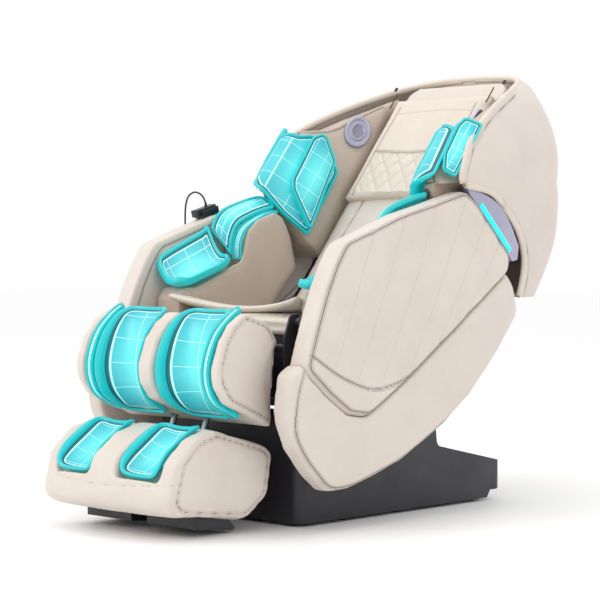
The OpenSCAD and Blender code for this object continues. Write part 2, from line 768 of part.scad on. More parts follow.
// ---------- massage mechanism ----------
shaft_y = 230;
shaft_h = -100;
shaft_r = 8;
guide_h = -114;
guide_y = [-52, 52];
cheek_x = [94, 104];
disc_t = 16;
tyre_t = 6;

module roller_carriage() {
    color("#6a6e74") on_back() translate([0, shaft_y, 0]) {
        both_sides() difference() {
            union() {
                translate([cheek_x[0], -66, -150]) cube([cheek_x[1] - cheek_x[0], 132, 66]);
                for (y = guide_y) translate([cheek_x[1], y, guide_h]) rotate([0, 90, 0])
                    cylinder(r = slot_w / 2 - 0.5, h = 24);
            }
            translate([0, 0, shaft_h]) rotate([0, 90, 0]) cylinder(r = shaft_r + run_gap, h = 200);
        }
        translate([-cheek_x[0], -60, -158]) cube([2 * cheek_x[0], 120, 8]);
        translate([-cheek_x[0] - 4, -60, -154]) cube([2 * cheek_x[0] + 8, 120, 4]);
        translate([-40, -50, -180]) cube([80, 100, 24]);
    }
}
module knead_shaft() {
    color(steel) on_back() translate([0, shaft_y, shaft_h]) rotate([0, 90, 0]) {
        translate([0, 0, -108]) cylinder(r = shaft_r, h = 216);
        for (x = [-1, 1]) translate([0, 0, x * knead_gap / 2 - disc_t / 2]) cylinder(r = knead_r - tyre_t, h = disc_t);
    }
}
module knead_rollers() {
    color("#3a3a3e") on_back() translate([0, shaft_y, shaft_h]) rotate([0, 90, 0])
        for (x = [-1, 1]) translate([0, 0, x * knead_gap / 2 - disc_t / 2]) difference() {
            cylinder(r = knead_r, h = disc_t);
            translate([0, 0, -1]) cylinder(r = knead_r - tyre_t, h = disc_t + 2);
        }
}

// ---------- leg rest ----------
module calf_frame() {
    color(black) {
        both_sides() difference() {
            across(calf_half + 4, calf_half + 10)
                polygon(rounded([[-340, 538, 14], [-300, 538, 14], [-300, 500, 14], [-346, 300, 10],
                                 [-366, 300, 10],
                                 [-362, 480, 0]]));
            bar(legrest_at, pin_r + run_gap, calf_half, calf_half + 12);
        }
        for (at = [[-354, 455], [-356, 320]]) bar(at, 9, -calf_half - 4, calf_half + 4);
        // Plate that the cushion and the slide rods are screwed to
        across(-180, 180) polygon([[-363, 310], [-387.7, 310], [-383.7, 370], [-372.6, 466], [-363, 466]]);
    }
}

calf_side = [[-486, 548, 20], [-530, 522, 0], [-562, 478, 30], [-586, 411, 30], [-582, 366, 30], [-550,
                                                            322, 20],
             [-392, 252, 8], [-384, 370, 0], [-372, 478, 20], [-408, 522, 20]];
trough_x = [26, 232];
trough_side = [[-440, 570, 0], [-496, 470, 60], [-508, 400, 60], [-478, 318, 30], [-430, 250, 0], [-700,
                                                            200, 0],
               [-700, 620, 0]];
liner_side = [[-450.8, 552, 0], [-498, 518, 20], [-544, 480, 30], [-572, 411, 40], [-568, 370, 30],
              [-540, 330, 20],
              [-463.2, 296, 0], [-478.4, 318, 30], [-508.3, 400, 60], [-496.3, 470, 60]];
liner_t = 12;

module calf_cushion() {
    color(leather) difference() {
        across(-calf_half, calf_half) polygon(rounded(calf_side));
        both_sides() across(trough_x[0], trough_x[1]) polygon(rounded(trough_side));
        // Clearance for the rods of the foot slide
        on_slide() both_sides() translate([rod_gap, 0, -300]) cylinder(r = rod_r + 3, h = 300 + rod_high);
        on_slide() translate([-rod_gap - 16, -14, rod_high - 1]) cube([2 * rod_gap + 32, 80, 14]);
    }
}

// One U-shaped air cell lines each trough
module calf_cells() {
    color(cyan) both_sides() difference() {
        across(trough_x[0] + seam, trough_x[1] - seam) polygon(rounded(liner_side));
        across(trough_x[0] + liner_t, trough_x[1] - liner_t) translate([-liner_t,
                                                            0]) polygon(rounded(trough_side));
    }
}

rod_low = -190;
rod_high = 40;

module foot_rods() {
    color(steel) {
        on_slide() both_sides() translate([rod_gap, 0, rod_low]) cylinder(r = rod_r,
                                                            h = rod_high - rod_low);
        // Cross bar that ties both rods to the leg rest frame
        difference() {
            on_slide() translate([-rod_gap - 14, -12, rod_high]) cube([2 * rod_gap + 28, 60, 12]);
            across(-100, 100) polygon([[-388.6, 300], [-384.2, 370], [-373.2, 466], [-300, 466], [-300,
                                                            300]]);
        }
    }
}

// ---------- foot unit ----------
// The sole is straight from its front corner to its back one
sole_front = [-690, 60];
sole_back = [-455, 32];
bow_start = -610;
function on_sole(y) =
    [y, sole_back.y + (sole_front.y - sole_back.y) * (y - sole_back.x) / (sole_front.x - sole_back.x)];
foot_side = [[-566, 266, 30], [-634, 246, 30], [-694, 192, 40], [-726, 84, 40], [each sole_front, 30],
             [each on_sole(bow_start + 1), 0], [each sole_back, 60],
             [-379, 88, 40], [-361, 193, 12], [-386, 214, 10]];
well_x = [48, 192];
well_side = [[-548, 320, 0], [-550, 258, 6], [-600, 204, 60], [-664, 158, 30], [-692, 136, 0], [-780,
                                                            166, 0],
             [-780, 320, 0]];
well_t = 10;
foot_roller_at = [-596, 108];

// The front of the foot unit bows forward in the middle
foot_bow = 30;
bow_span = 116;
bow_steps = 8;

function bowed(p, x) =
    let (share = min(1, max(0, (bow_start - p.x) / bow_span)), across_x = x / foot_half)
    [x, p.x - foot_bow * share * (1 - across_x * across_x), p.y];

module foot_shell() {
    outline = rounded(foot_side);
    color(leather) difference() {
        loft([for (i = [-bow_steps : bow_steps]) [for (p = outline) bowed(p, foot_half * i / bow_steps)]]);
        both_sides() across(well_x[0], well_x[1]) polygon(rounded(well_side));
        // Bores that slide along the rods
        on_slide() both_sides() translate([rod_gap, 0, rod_low - 120]) cylinder(r = rod_r + run_gap,
                                                            h = 400);
        // Hollow round the foot rollers, and the bearings of their shaft
        bar(foot_roller_at, foot_roller_r + 6, -200, 200);
        bar(foot_roller_at, 6 + run_gap, -212, 212);
    }
}

module foot_cells() {
    color(cyan) both_sides() difference() {
        across(well_x[0] + seam, well_x[1] - seam)
            polygon(rounded([[-562, 266, 3], [-551.4, 258.4, 4], [-600.4, 204.9, 60], [-664.4, 158.9,
                                                            30], [-690, 140.2, 4],
                             [-700, 160, 10], [-690, 190, 20], [-632, 238, 20]]));
        across(well_x[0] + well_t, well_x[1] - well_t) translate([-3, well_t]) polygon(rounded(well_side));
    }
}

// Low wedges that the foot unit slides on, flush under its sole
glide_x = [30, 200];
glide_y = [-600, -484];
module foot_glides() {
    color(black) both_sides() across(glide_x[0], glide_x[1])
        polygon([[glide_y[0], 20], [-470, 6], [-462, 12], on_sole(glide_y[1]), on_sole(glide_y[0])]);
}

module foot_rollers() {
    color(steel) {
        bar(foot_roller_at, 6, -211, 211);
        for (x = [-180 : 24 : 180]) bar(foot_roller_at, foot_roller_r, x - 8, x + 8);
    }
}

base_frame();
base_cover();
base_feet();
power_box();
power_inlet();
power_switch();
wheel(true);  // wheel_left
wheel(false);  // wheel_right
wheel_axles();
tilt_pin();
seat_frame();
seat_pad();
seat_lip();
seat_front_cover();
seat_fascia();
rear_lower_cover();
lower_panel(true);  // lower_panel_left
lower_panel(false);  // lower_panel_right
upper_panel(true);  // upper_panel_left
upper_panel(false);  // upper_panel_right
arm_block(true);  // arm_block_left
arm_block(false);  // arm_block_right
hand_cells();
arm_cells();
arm_trims();
led_strips();
remote_holder();
remote_handset();
remote_button();
remote_cord();
cord_grommet();
air_pump();
control_board();
recline_pins();
legrest_pins();
tilt_actuator_tube();
tilt_actuator_rod();
back_frame();
hood_shell();
wing(true);  // wing_left
wing(false);  // wing_right
head_liner();
speakers();
shoulder_cells();
back_pad();
pillow_cover();
roller_carriage();
knead_shaft();
knead_rollers();
calf_frame();
calf_cushion();
calf_cells();
foot_rods();
foot_shell();
foot_cells();
foot_glides();
foot_rollers();
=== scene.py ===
import bpy
import math
import time
import numpy as np
from mathutils import Matrix, Vector


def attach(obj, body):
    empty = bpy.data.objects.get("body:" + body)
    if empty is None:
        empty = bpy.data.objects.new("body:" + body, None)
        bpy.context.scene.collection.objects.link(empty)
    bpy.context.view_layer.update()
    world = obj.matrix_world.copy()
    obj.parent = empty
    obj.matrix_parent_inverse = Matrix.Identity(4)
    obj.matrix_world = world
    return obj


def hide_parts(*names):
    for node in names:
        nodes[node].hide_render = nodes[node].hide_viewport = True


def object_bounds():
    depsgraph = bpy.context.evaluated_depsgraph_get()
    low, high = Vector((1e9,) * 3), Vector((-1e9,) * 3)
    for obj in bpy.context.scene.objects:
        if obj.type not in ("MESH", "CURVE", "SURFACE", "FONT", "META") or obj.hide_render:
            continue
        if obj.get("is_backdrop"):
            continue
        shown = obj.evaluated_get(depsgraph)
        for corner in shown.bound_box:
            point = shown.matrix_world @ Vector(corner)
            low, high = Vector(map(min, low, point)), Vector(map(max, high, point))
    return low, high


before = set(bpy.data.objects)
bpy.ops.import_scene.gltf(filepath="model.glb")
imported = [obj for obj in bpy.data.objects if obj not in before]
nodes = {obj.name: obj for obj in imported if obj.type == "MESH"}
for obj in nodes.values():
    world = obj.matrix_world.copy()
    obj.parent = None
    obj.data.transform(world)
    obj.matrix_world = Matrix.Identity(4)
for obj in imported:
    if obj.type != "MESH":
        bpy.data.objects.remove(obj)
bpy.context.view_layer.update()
mm = 0.001
startTime = time.time()


def stageDone(text):
    print("%5.1f s  %s" % (time.time() - startTime, text))


# ---- small helpers for selecting, applying and placing ----

def makeActive(obj):
    bpy.ops.object.select_all(action="DESELECT")
    obj.select_set(True)
    bpy.context.view_layer.objects.active = obj


def applyAll(obj):
    makeActive(obj)
    for modifier in list(obj.modifiers):
        bpy.ops.object.modifier_apply(modifier=modifier.name)


def settle(obj):
    makeActive(obj)
    bpy.ops.object.transform_apply(location=True, rotation=True, scale=True)


def closeSkin(obj, gap=0.00002):
    # welds the ends of a skin and turns its normals outward
    makeActive(obj)
    bpy.ops.object.mode_set(mode="EDIT")
    bpy.ops.mesh.select_all(action="SELECT")
    if gap:
        bpy.ops.mesh.remove_doubles(threshold=gap)
    bpy.ops.mesh.normals_make_consistent(inside=False)
    bpy.ops.object.mode_set(mode="OBJECT")


def pointsOf(obj):
    flat = np.zeros(len(obj.data.vertices) * 3, np.float32)
    obj.data.vertices.foreach_get("co", flat)
    return flat.reshape(-1, 3).astype(float)


def normalsOf(obj):
    flat = np.zeros(len(obj.data.vertices) * 3, np.float32)
    obj.data.vertices.foreach_get("normal", flat)
    return flat.reshape(-1, 3).astype(float)


def movePoints(obj, points):
    obj.data.vertices.foreach_set("co", np.asarray(points, np.float32).ravel())
    obj.data.update()


def setValues(obj, name, values):
    layer = obj.data.attributes.get(name) or obj.data.attributes.new(name, "FLOAT", "POINT")
    layer.data.foreach_set("value", np.asarray(values, np.float32))


def smoothLine(points, steps):
    pts = [np.array(p, float) for p in points]
    out = []
    for i in range(len(pts) - 1):
        p0, p1, p2, p3 = pts[max(i - 1, 0)], pts[i], pts[i + 1], pts[min(i + 2, len(pts) - 1)]
        for k in range(steps):
            t = k / steps
            out.append(0.5 * (2 * p1 + (p2 - p0) * t + (2 * p0 - 5 * p1 + 4 * p2 - p3) * t * t
                              + (3 * p1 - p0 - 3 * p2 + p3) * t ** 3))
    return np.array(out + [pts[-1]])


def alongLine(line, share):
    # point at each share of a line's own length
    step = np.r_[0, np.cumsum(np.linalg.norm(np.diff(line, axis=0), axis=1))]
    at = np.clip(share, 0, 1) * step[-1]
    return np.stack([np.interp(at, step, line[:, k]) for k in range(line.shape[1])], axis=1)


def lineGap(flat, path):
    gap, run, start = np.full(len(flat), 900.0), np.zeros(len(flat)), 0.0
    for a, b in zip(path[:-1], path[1:]):
        ab = b - a
        length = math.hypot(*ab)
        if length < 1e-9:
            continue
        t = np.clip(((flat - a) @ ab) / length ** 2, 0, 1)
        here = np.linalg.norm(flat - a - t[:, None] * ab, axis=1)
        closer = here < gap
        gap[closer] = here[closer]
        run[closer] = start + t[closer] * length
        start += length
    return gap, run


def roundedOutline(corners, steps=7):
    # corners as [x, y, radius]
    out = []
    n = len(corners)
    for i in range(n):
        a, b, c = (np.array(corners[(i + k) % n][:2], float) for k in (-1, 0, 1))
        r = corners[i][2]
        u, w = (a - b) / np.linalg.norm(a - b), (c - b) / np.linalg.norm(c - b)
        half = math.acos(max(-1, min(1, u @ w))) / 2
        if r <= 0 or abs(half - math.pi / 2) < 1e-3:
            out.append(b)
            continue
        reach = min(r / math.tan(half), 0.49 * np.linalg.norm(a - b), 0.49 * np.linalg.norm(c - b))
        p, q = b + u * reach, b + w * reach
        for k in range(steps + 1):
            t = k / steps
            out.append((1 - t) ** 2 * p + 2 * t * (1 - t) * b + t * t * q)
    return np.array(out)


backSlope = {"y": 0.095, "z": 0.505, "angle": math.radians(51.3)}


def fromBack(x, u, h):
    # back pad's own frame: x across, u up the slope, h out of the pad
    c, s = math.cos(backSlope["angle"]), math.sin(backSlope["angle"])
    return np.stack([x, backSlope["y"] + u * c - h * s, backSlope["z"] + u * s + h * c], axis=1)


def toBack(points):
    c, s = math.cos(backSlope["angle"]), math.sin(backSlope["angle"])
    y, z = points[:, 1] - backSlope["y"], points[:, 2] - backSlope["z"]
    return np.stack([points[:, 0], y * c + z * s, -y * s + z * c], axis=1)


def sideView(points):
    return points[:, [1, 2]]


def frontView(points):
    return points[:, [0, 2]]


def topView(points):
    return points[:, [0, 1]]


def backView(points):
    return toBack(points)[:, [0, 1]]


# ---- camera ----
eye = {"place": (3.6693, -3.8230, 0.715), "turn": 44.0, "pitch": 1.666, "lens": 117.6}
bpy.ops.object.camera_add(location=eye["place"])
camera = bpy.context.object
turn, pitch = math.radians(eye["turn"]), math.radians(eye["pitch"])
ahead = Vector((-math.sin(turn) * math.cos(pitch), math.cos(turn) * math.cos(pitch), -math.sin(pitch)))
camera.rotation_euler = ahead.to_track_quat("-Z", "Y").to_euler()
camera.data.lens = eye["lens"]
camera.data.sensor_width = 36
camera.data.clip_end = 60
bpy.context.scene.camera = camera

# ---- materials ----


def linear(code):
    parts = [int(code[i:i + 2], 16) / 255 for i in (1, 3, 5)]
    return tuple(v / 12.92 if v <= 0.04045 else ((v + 0.055) / 1.055) ** 2.4 for v in parts) + (1.0,)


def addNode(tree, kind, settings=None, links=None):
    made = tree.nodes.new(kind)
    for key, value in (settings or {}).items():
        setattr(made, key, value)
    for key, value in (links or {}).items():
        socket = made.inputs[key]
        if isinstance(value, bpy.types.NodeSocket):
            tree.links.new(value, socket)
        else:
            socket.default_value = value
    return made


def startMaterial(name, settings):
    material = bpy.data.materials.new(name)
    material.use_nodes = True
    tree = material.node_tree
    shader = tree.nodes["Principled BSDF"]
    for key, value in settings.items():
        shader.inputs[key].default_value = value
    return material, tree, shader


def blendColour(tree, share, a, b, mode="MIX"):
    made = addNode(tree, "ShaderNodeMix", {"data_type": "RGBA", "blend_type": mode}, {0: share})
    for index, value in ((6, a), (7, b)):
        if isinstance(value, bpy.types.NodeSocket):
            tree.links.new(value, made.inputs[index])
        else:
            made.inputs[index].default_value = value
    return made.outputs[2]


def rangeOf(tree, value, low, high, toLow=0.0, toHigh=1.0, kind="SMOOTHSTEP"):
    return addNode(tree, "ShaderNodeMapRange", {"interpolation_type": kind},
                   {0: value, 1: low, 2: high, 3: toLow, 4: toHigh}).outputs[0]


def leatherFinish(name, look):
    # polyurethane-coated leather, calendered grain: soft satin, fine pebble, dark sewn lines with painted shade fading
    # out over 10 mm beside them
    material, tree, shader = startMaterial(name, {"IOR": 1.48, "Coat Weight": 0.08, "Coat Roughness": 0.35,
                                                  "Sheen Weight": 0.12, "Sheen Roughness": 0.5})
    place = addNode(tree, "ShaderNodeTexCoord").outputs["Object"]
    cloud = addNode(tree, "ShaderNodeTexNoise", None,
                    {"Vector": place, "Scale": 7.0, "Detail": 4.0}).outputs["Fac"]
    mottle = addNode(tree, "ShaderNodeTexNoise", None,
                     {"Vector": place, "Scale": 60.0, "Detail": 3.0}).outputs["Fac"]
    tone = blendColour(tree, rangeOf(tree, cloud, 0.3, 0.7), linear(look["light"]), linear(look["deep"]))
    tone = blendColour(tree, rangeOf(tree, mottle, 0.35, 0.7, 0.0, 0.16), tone, linear(look["worn"]))
    grain = addNode(tree, "ShaderNodeTexVoronoi", {"feature": "DISTANCE_TO_EDGE"},
                    {"Vector": place, "Scale": 1 / (look["grain"] * mm)}).outputs["Distance"]
    fine = addNode(tree, "ShaderNodeTexNoise", None,
                   {"Vector": place, "Scale": 1 / (0.6 * mm), "Detail": 2.0}).outputs["Fac"]
    seam = addNode(tree, "ShaderNodeAttribute", {"attribute_name": "seamGap"}).outputs["Fac"]
    thread = addNode(tree, "ShaderNodeAttribute", {"attribute_name": "stitchGap"}).outputs["Fac"]
    run = addNode(tree, "ShaderNodeAttribute", {"attribute_name": "stitchRun"}).outputs["Fac"]
    # painted shade: a darker colour fades in over the 10 mm nearest each seam
    shadow = rangeOf(tree, seam, 0.0005, 0.010, 0.22, 0.0)
    tone = blendColour(tree, shadow, tone, linear(look["seamShade"]))
    dark = rangeOf(tree, seam, 0.0006, 0.0021, look["line"], 0.0)
    tone = blendColour(tree, dark, tone, linear("#4f463f"))
    beat = addNode(tree, "ShaderNodeMath", {"operation": "FRACT"},
                   {0: addNode(tree, "ShaderNodeMath", {"operation": "DIVIDE"},
                               {0: run, 1: 0.006}).outputs[0]}).outputs[0]
    dash = rangeOf(tree, beat, 0.66, 0.78, 1.0, 0.25)                       # 4 mm of thread, then the hole
    inLine = rangeOf(tree, thread, 0.0007, 0.0016, 1.0, 0.0)
    sewn = addNode(tree, "ShaderNodeMath", {"operation": "MULTIPLY"}, {0: inLine, 1: dash}).outputs[0]
    softened = addNode(tree, "ShaderNodeMath", {"operation": "MULTIPLY"}, {0: sewn, 1: 0.75}).outputs[0]
    tone = blendColour(tree, softened, tone, linear(look["thread"]))
    tree.links.new(tone, shader.inputs["Base Color"])
    tree.links.new(rangeOf(tree, mottle, 0.3, 0.7, look["rough"] - 0.05, look["rough"] + 0.07),
                   shader.inputs["Roughness"])
    pebble = rangeOf(tree, grain, 0.0, 0.12)
    relief = addNode(tree, "ShaderNodeMath", {"operation": "MULTIPLY_ADD"},
                     {0: fine, 1: 0.35, 2: pebble}).outputs[0]
    bump = addNode(tree, "ShaderNodeBump", None, {"Strength": 0.16, "Distance": 0.0005, "Height": relief})
    raised = addNode(tree, "ShaderNodeBump", None, {"Strength": 0.5, "Distance": 0.0008, "Height": sewn,
                                                    "Normal": bump.outputs[0]})
    tree.links.new(raised.outputs[0], shader.inputs["Normal"])
    return material


def plasticFinish(name, look):
    # injection-moulded ABS, spark-eroded texture: even colour, broad soft highlight
    material, tree, shader = startMaterial(name, {"IOR": 1.54, "Metallic": look.get("metal", 0.0),
                                                  "Coat Weight": look.get("coat", 0.0), "Coat Roughness": 0.15})
    place = addNode(tree, "ShaderNodeTexCoord").outputs["Object"]
    broad = addNode(tree, "ShaderNodeTexNoise", None,
                    {"Vector": place, "Scale": 9.0, "Detail": 5.0}).outputs["Fac"]
    speck = addNode(tree, "ShaderNodeTexNoise", None,
                    {"Vector": place, "Scale": 1 / (look["texture"] * mm), "Detail": 2.0}).outputs["Fac"]
    tone = blendColour(tree, rangeOf(tree, broad, 0.3, 0.7), linear(look["light"]), linear(look["deep"]))
    tree.links.new(tone, shader.inputs["Base Color"])
    tree.links.new(rangeOf(tree, broad, 0.3, 0.75, look["rough"] - 0.05, look["rough"] + 0.08),
                   shader.inputs["Roughness"])
    bump = addNode(tree, "ShaderNodeBump", None,
                   {"Strength": look["relief"], "Distance": 0.0004, "Height": speck})
    tree.links.new(bump.outputs[0], shader.inputs["Normal"])
    return material


def metalFinish(name, look):
    # bright drawn or zinc-plated steel: fine lines along the draw, cloudy plating
    material, tree, shader = startMaterial(name, {"Metallic": 1.0})
    place = addNode(tree, "ShaderNodeTexCoord").outputs["Object"]
    drawn = addNode(tree, "ShaderNodeMapping", None, {"Vector": place, "Scale": (6.0, 900.0, 900.0)}).outputs[0]
    lines = addNode(tree, "ShaderNodeTexNoise", None,
                    {"Vector": drawn, "Scale": 1.0, "Detail": 3.0}).outputs["Fac"]
    plate = addNode(tree, "ShaderNodeTexNoise", None,
                    {"Vector": place, "Scale": 45.0, "Detail": 4.0}).outputs["Fac"]
    tone = blendColour(tree, rangeOf(tree, plate, 0.3, 0.7), linear(look["light"]), linear(look["deep"]))
    tree.links.new(tone, shader.inputs["Base Color"])
    tree.links.new(rangeOf(tree, lines, 0.3, 0.7, look["rough"] - 0.08, look["rough"] + 0.1),
                   shader.inputs["Roughness"])
    bump = addNode(tree, "ShaderNodeBump", None, {"Strength": 0.1, "Distance": 0.0002, "Height": lines})
    tree.links.new(bump.outputs[0], shader.inputs["Normal"])
    return material


def airCellFinish(name, look):
    # welded TPU film over an air bladder: translucent skin with a painted glow, painted lighter in its middle and
    # darker to its edge, thick welded rim, fine white weld grid
    material, tree, shader = startMaterial(name, {"IOR": 1.5, "Coat Weight": 0.3, "Coat Roughness": 0.2,
                                                  "Roughness": 0.34})
    place = addNode(tree, "ShaderNodeTexCoord").outputs["Object"]
    band = addNode(tree, "ShaderNodeAttribute", {"attribute_name": "rimBand"}).outputs["Fac"]
    core = addNode(tree, "ShaderNodeAttribute", {"attribute_name": "coreShare"}).outputs["Fac"]
    haze = addNode(tree, "ShaderNodeTexNoise", None,
                   {"Vector": place, "Scale": 14.0, "Detail": 3.0}).outputs["Fac"]
    # painted highlight and shade: the colour runs lighter in the cell's middle and darker towards its edge, with random
    # haze
    depth = addNode(tree, "ShaderNodeMath", {"operation": "MULTIPLY_ADD"},
                    {0: haze, 1: 0.25, 2: core}).outputs[0]
    tone = blendColour(tree, rangeOf(tree, depth, 0.15, 0.95), linear(look["heart"]), linear(look["middle"]))
    tone = blendColour(tree, rangeOf(tree, depth, 0.8, 1.15), tone, linear(look["edge"]))
    welds = None
    for attribute in ("gridA", "gridB"):
        value = addNode(tree, "ShaderNodeAttribute", {"attribute_name": attribute}).outputs["Fac"]
        beat = addNode(tree, "ShaderNodeMath", {"operation": "PINGPONG"}, {0: value, 1: 0.5}).outputs[0]
        line = rangeOf(tree, beat, 0.008, 0.020, 1.0, 0.0)
        welds = line if welds is None else addNode(tree, "ShaderNodeMath", {"operation": "MAXIMUM"},
                                                   {0: welds, 1: line}).outputs[0]
    inside = rangeOf(tree, band, 1.6, 1.75)
    grid = addNode(tree, "ShaderNodeMath", {"operation": "MULTIPLY"}, {0: welds, 1: inside}).outputs[0]
    faint = addNode(tree, "ShaderNodeMath", {"operation": "MULTIPLY"}, {0: grid, 1: 0.5}).outputs[0]
    tone = blendColour(tree, faint, tone, linear("#e9fffe"))
    paleUp = rangeOf(tree, band, 1.42, 1.52)
    paleDown = rangeOf(tree, band, 1.62, 1.76, 1.0, 0.0)
    pale = addNode(tree, "ShaderNodeMath", {"operation": "MULTIPLY"}, {0: paleUp, 1: paleDown}).outputs[0]
    tone = blendColour(tree, pale, tone, linear("#c9fbfa"))
    rim = rangeOf(tree, band, 1.36, 1.44, 1.0, 0.0)
    tone = blendColour(tree, rim, tone, linear(look["contour"]))
    tube = rangeOf(tree, band, 0.94, 1.02, 1.0, 0.0)
    tone = blendColour(tree, tube, tone, linear(look["rim"]))
    tree.links.new(tone, shader.inputs["Base Color"])
    # painted glow: the film's colour is also emitted, so the cell lights itself though it is no lamp
    tree.links.new(tone, shader.inputs["Emission Color"])
    shader.inputs["Emission Strength"].default_value = look["glow"]
    fine = addNode(tree, "ShaderNodeTexNoise", None,
                   {"Vector": place, "Scale": 900.0, "Detail": 1.0}).outputs["Fac"]
    bump = addNode(tree, "ShaderNodeBump", None, {"Strength": 0.08, "Distance": 0.0004, "Height": fine})
    tree.links.new(bump.outputs[0], shader.inputs["Normal"])
    return material


leatherLook = {"light": "#d8cdc3", "deep": "#d2c6bc", "worn": "#ded4cb", "seamShade": "#8a7b70",
               "thread": "#a99b90",
               "grain": 2.2, "rough": 0.46, "line": 0.85}
leather = leatherFinish("polyurethane leather calendered beige", leatherLook)
# darker copy of the beige leather for the arm blocks and wings: painted shade on these inward-facing parts
paintedShadeLook = dict(leatherLook, light="#c6b5a6", deep="#beac9c", worn="#cebfb1", seamShade="#76655a")
paintedShadeLeather = leatherFinish("polyurethane leather beige painted shade", paintedShadeLook)
# lighter copy of the beige leather, with lighter seams, for the pillow and the hood's rim: painted light on these top
# parts
litLook = dict(leatherLook, light="#dbcfc2", deep="#d5c8bb", worn="#e1d7cc", seamShade="#94857a",
                thread="#b3a497", line=0.7)
litLeather = leatherFinish("polyurethane leather beige painted light", litLook)
basePlastic = plasticFinish("ABS moulded textured black",
                            {"light": "#232128", "deep": "#1b1a20", "rough": 0.42, "texture": 0.8,
                             "relief": 0.12})
remotePlastic = plasticFinish("ABS moulded satin black",
                              {"light": "#16161a", "deep": "#0f0f12", "rough": 0.3, "texture": 0.5,
                               "relief": 0.06})
trimPaint = plasticFinish("ABS painted lavender silver",
                          {"light": "#aeacc0", "deep": "#a3a1b8", "rough": 0.3, "texture": 0.5, "relief": 0.04,
                           "metal": 0.55, "coat": 0.5})
redPlastic = plasticFinish("PBT moulded red", {"light": "#b12420", "deep": "#9a1b18", "rough": 0.35,
                                               "texture": 0.5, "relief": 0.05})
rubber = plasticFinish("EPDM moulded rubber black",
                       {"light": "#2b2b2e", "deep": "#222225", "rough": 0.72, "texture": 0.9, "relief": 0.2})
boardGreen = plasticFinish("glass-epoxy board solder resist",
                           {"light": "#1f5d33", "deep": "#184b29", "rough": 0.35, "texture": 1.2,
                            "relief": 0.1})
steel = metalFinish("steel drawn zinc plated", {"light": "#a9acb0", "deep": "#8d9196", "rough": 0.32})
castMetal = metalFinish("aluminium die cast", {"light": "#8b8f95", "deep": "#74787e", "rough": 0.5})
frameSteel = plasticFinish("steel powder coated black",
                           {"light": "#26262a", "deep": "#1d1d20", "rough": 0.5, "texture": 1.4,
                            "relief": 0.25})
airCell = airCellFinish("TPU film welded cyan",
                        {"heart": "#62dfe0", "middle": "#2fa9b6", "edge": "#146f86", "contour": "#055a63",
                         "rim": "#0db4b8", "glow": 0.3})


def glowFinish(name, look):
    # frosted polycarbonate light guide over LEDs, with a faint cloudy tone
    material, tree, shader = startMaterial(name,
                                           {"IOR": 1.58, "Roughness": 0.35, "Emission Strength": look["power"]})
    place = addNode(tree, "ShaderNodeTexCoord").outputs["Object"]
    cloud = addNode(tree, "ShaderNodeTexNoise", None,
                    {"Vector": place, "Scale": 40.0, "Detail": 2.0}).outputs["Fac"]
    tone = blendColour(tree, rangeOf(tree, cloud, 0.3, 0.7), linear(look["light"]), linear(look["deep"]))
    tree.links.new(tone, shader.inputs["Base Color"])
    tree.links.new(tone, shader.inputs["Emission Color"])
    return material


ledGlow = glowFinish("polycarbonate frosted light guide", {"light": "#19f0dc", "deep": "#0fe0cb", "power": 0.9})


def grilleFinish(name, look):
    # perforated steel grille, painted: round holes in a staggered field
    material, tree, shader = startMaterial(name, {"Metallic": 0.6, "Roughness": 0.4})
    place = addNode(tree, "ShaderNodeTexCoord").outputs["Object"]
    holes = addNode(tree, "ShaderNodeTexVoronoi", {"feature": "F1"},
                    {"Vector": place, "Scale": 1 / (look["pitch"] * mm),
                     "Randomness": 0.15}).outputs["Distance"]
    hole = rangeOf(tree, holes, 0.26, 0.40, 1.0, 0.0)
    # the holes are painted dark grey: the dark behind the grille and painted shade in the openings
    tree.links.new(blendColour(tree, hole, linear(look["metal"]), linear("#3b3945")),
                   shader.inputs["Base Color"])
    bump = addNode(tree, "ShaderNodeBump", {"invert": True},
                   {"Strength": 0.6, "Distance": 0.0008, "Height": hole})
    tree.links.new(bump.outputs[0], shader.inputs["Normal"])
    return material


grille = grilleFinish("steel perforated painted grille", {"pitch": 3.0, "metal": "#9b99ab"})
stageDone("materials")


def dress(obj, body, material, stands=(), angle=None):
    obj.data.materials.clear()
    obj.data.materials.append(material)
    makeActive(obj)
    if angle is None:
        bpy.ops.object.shade_smooth()
    else:
        bpy.ops.object.shade_smooth_by_angle(angle=math.radians(angle))
    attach(obj, body)
    if stands:
        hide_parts(*stands)
    return obj


# ---- handset cord ----
cordLook = {"diameter": 5.0, "route": [(-356, -36, 816), (-356, -38, 828), (-359, -42, 842), (-367, -48, 853),
                                       (-380, -56, 858), (-393, -63, 851), (-401, -67, 836), (-404, -70, 812),
                                       (-405, -70, 780), (-405, -70, 748), (-404, -70, 730), (-399.5, -70, 721),
                                       (-395, -70, 718)]}
cordPath = smoothLine(cordLook["route"], 3) * mm
cordCurve = bpy.data.curves.new("handsetCord", "CURVE")
cordCurve.dimensions = "3D"
spline = cordCurve.splines.new("POLY")
spline.points.add(len(cordPath) - 1)
for point, at in zip(spline.points, cordPath):
    point.co = (*at, 1)
cordCurve.bevel_depth = cordLook["diameter"] * mm / 2
cordCurve.bevel_resolution = 3
cordCurve.use_fill_caps = True
handsetCord = bpy.data.objects.new("handsetCord", cordCurve)
bpy.context.collection.objects.link(handsetCord)
cordCurve.materials.append(rubber)
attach(handsetCord, "seat_body")
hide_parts("remote_cord")

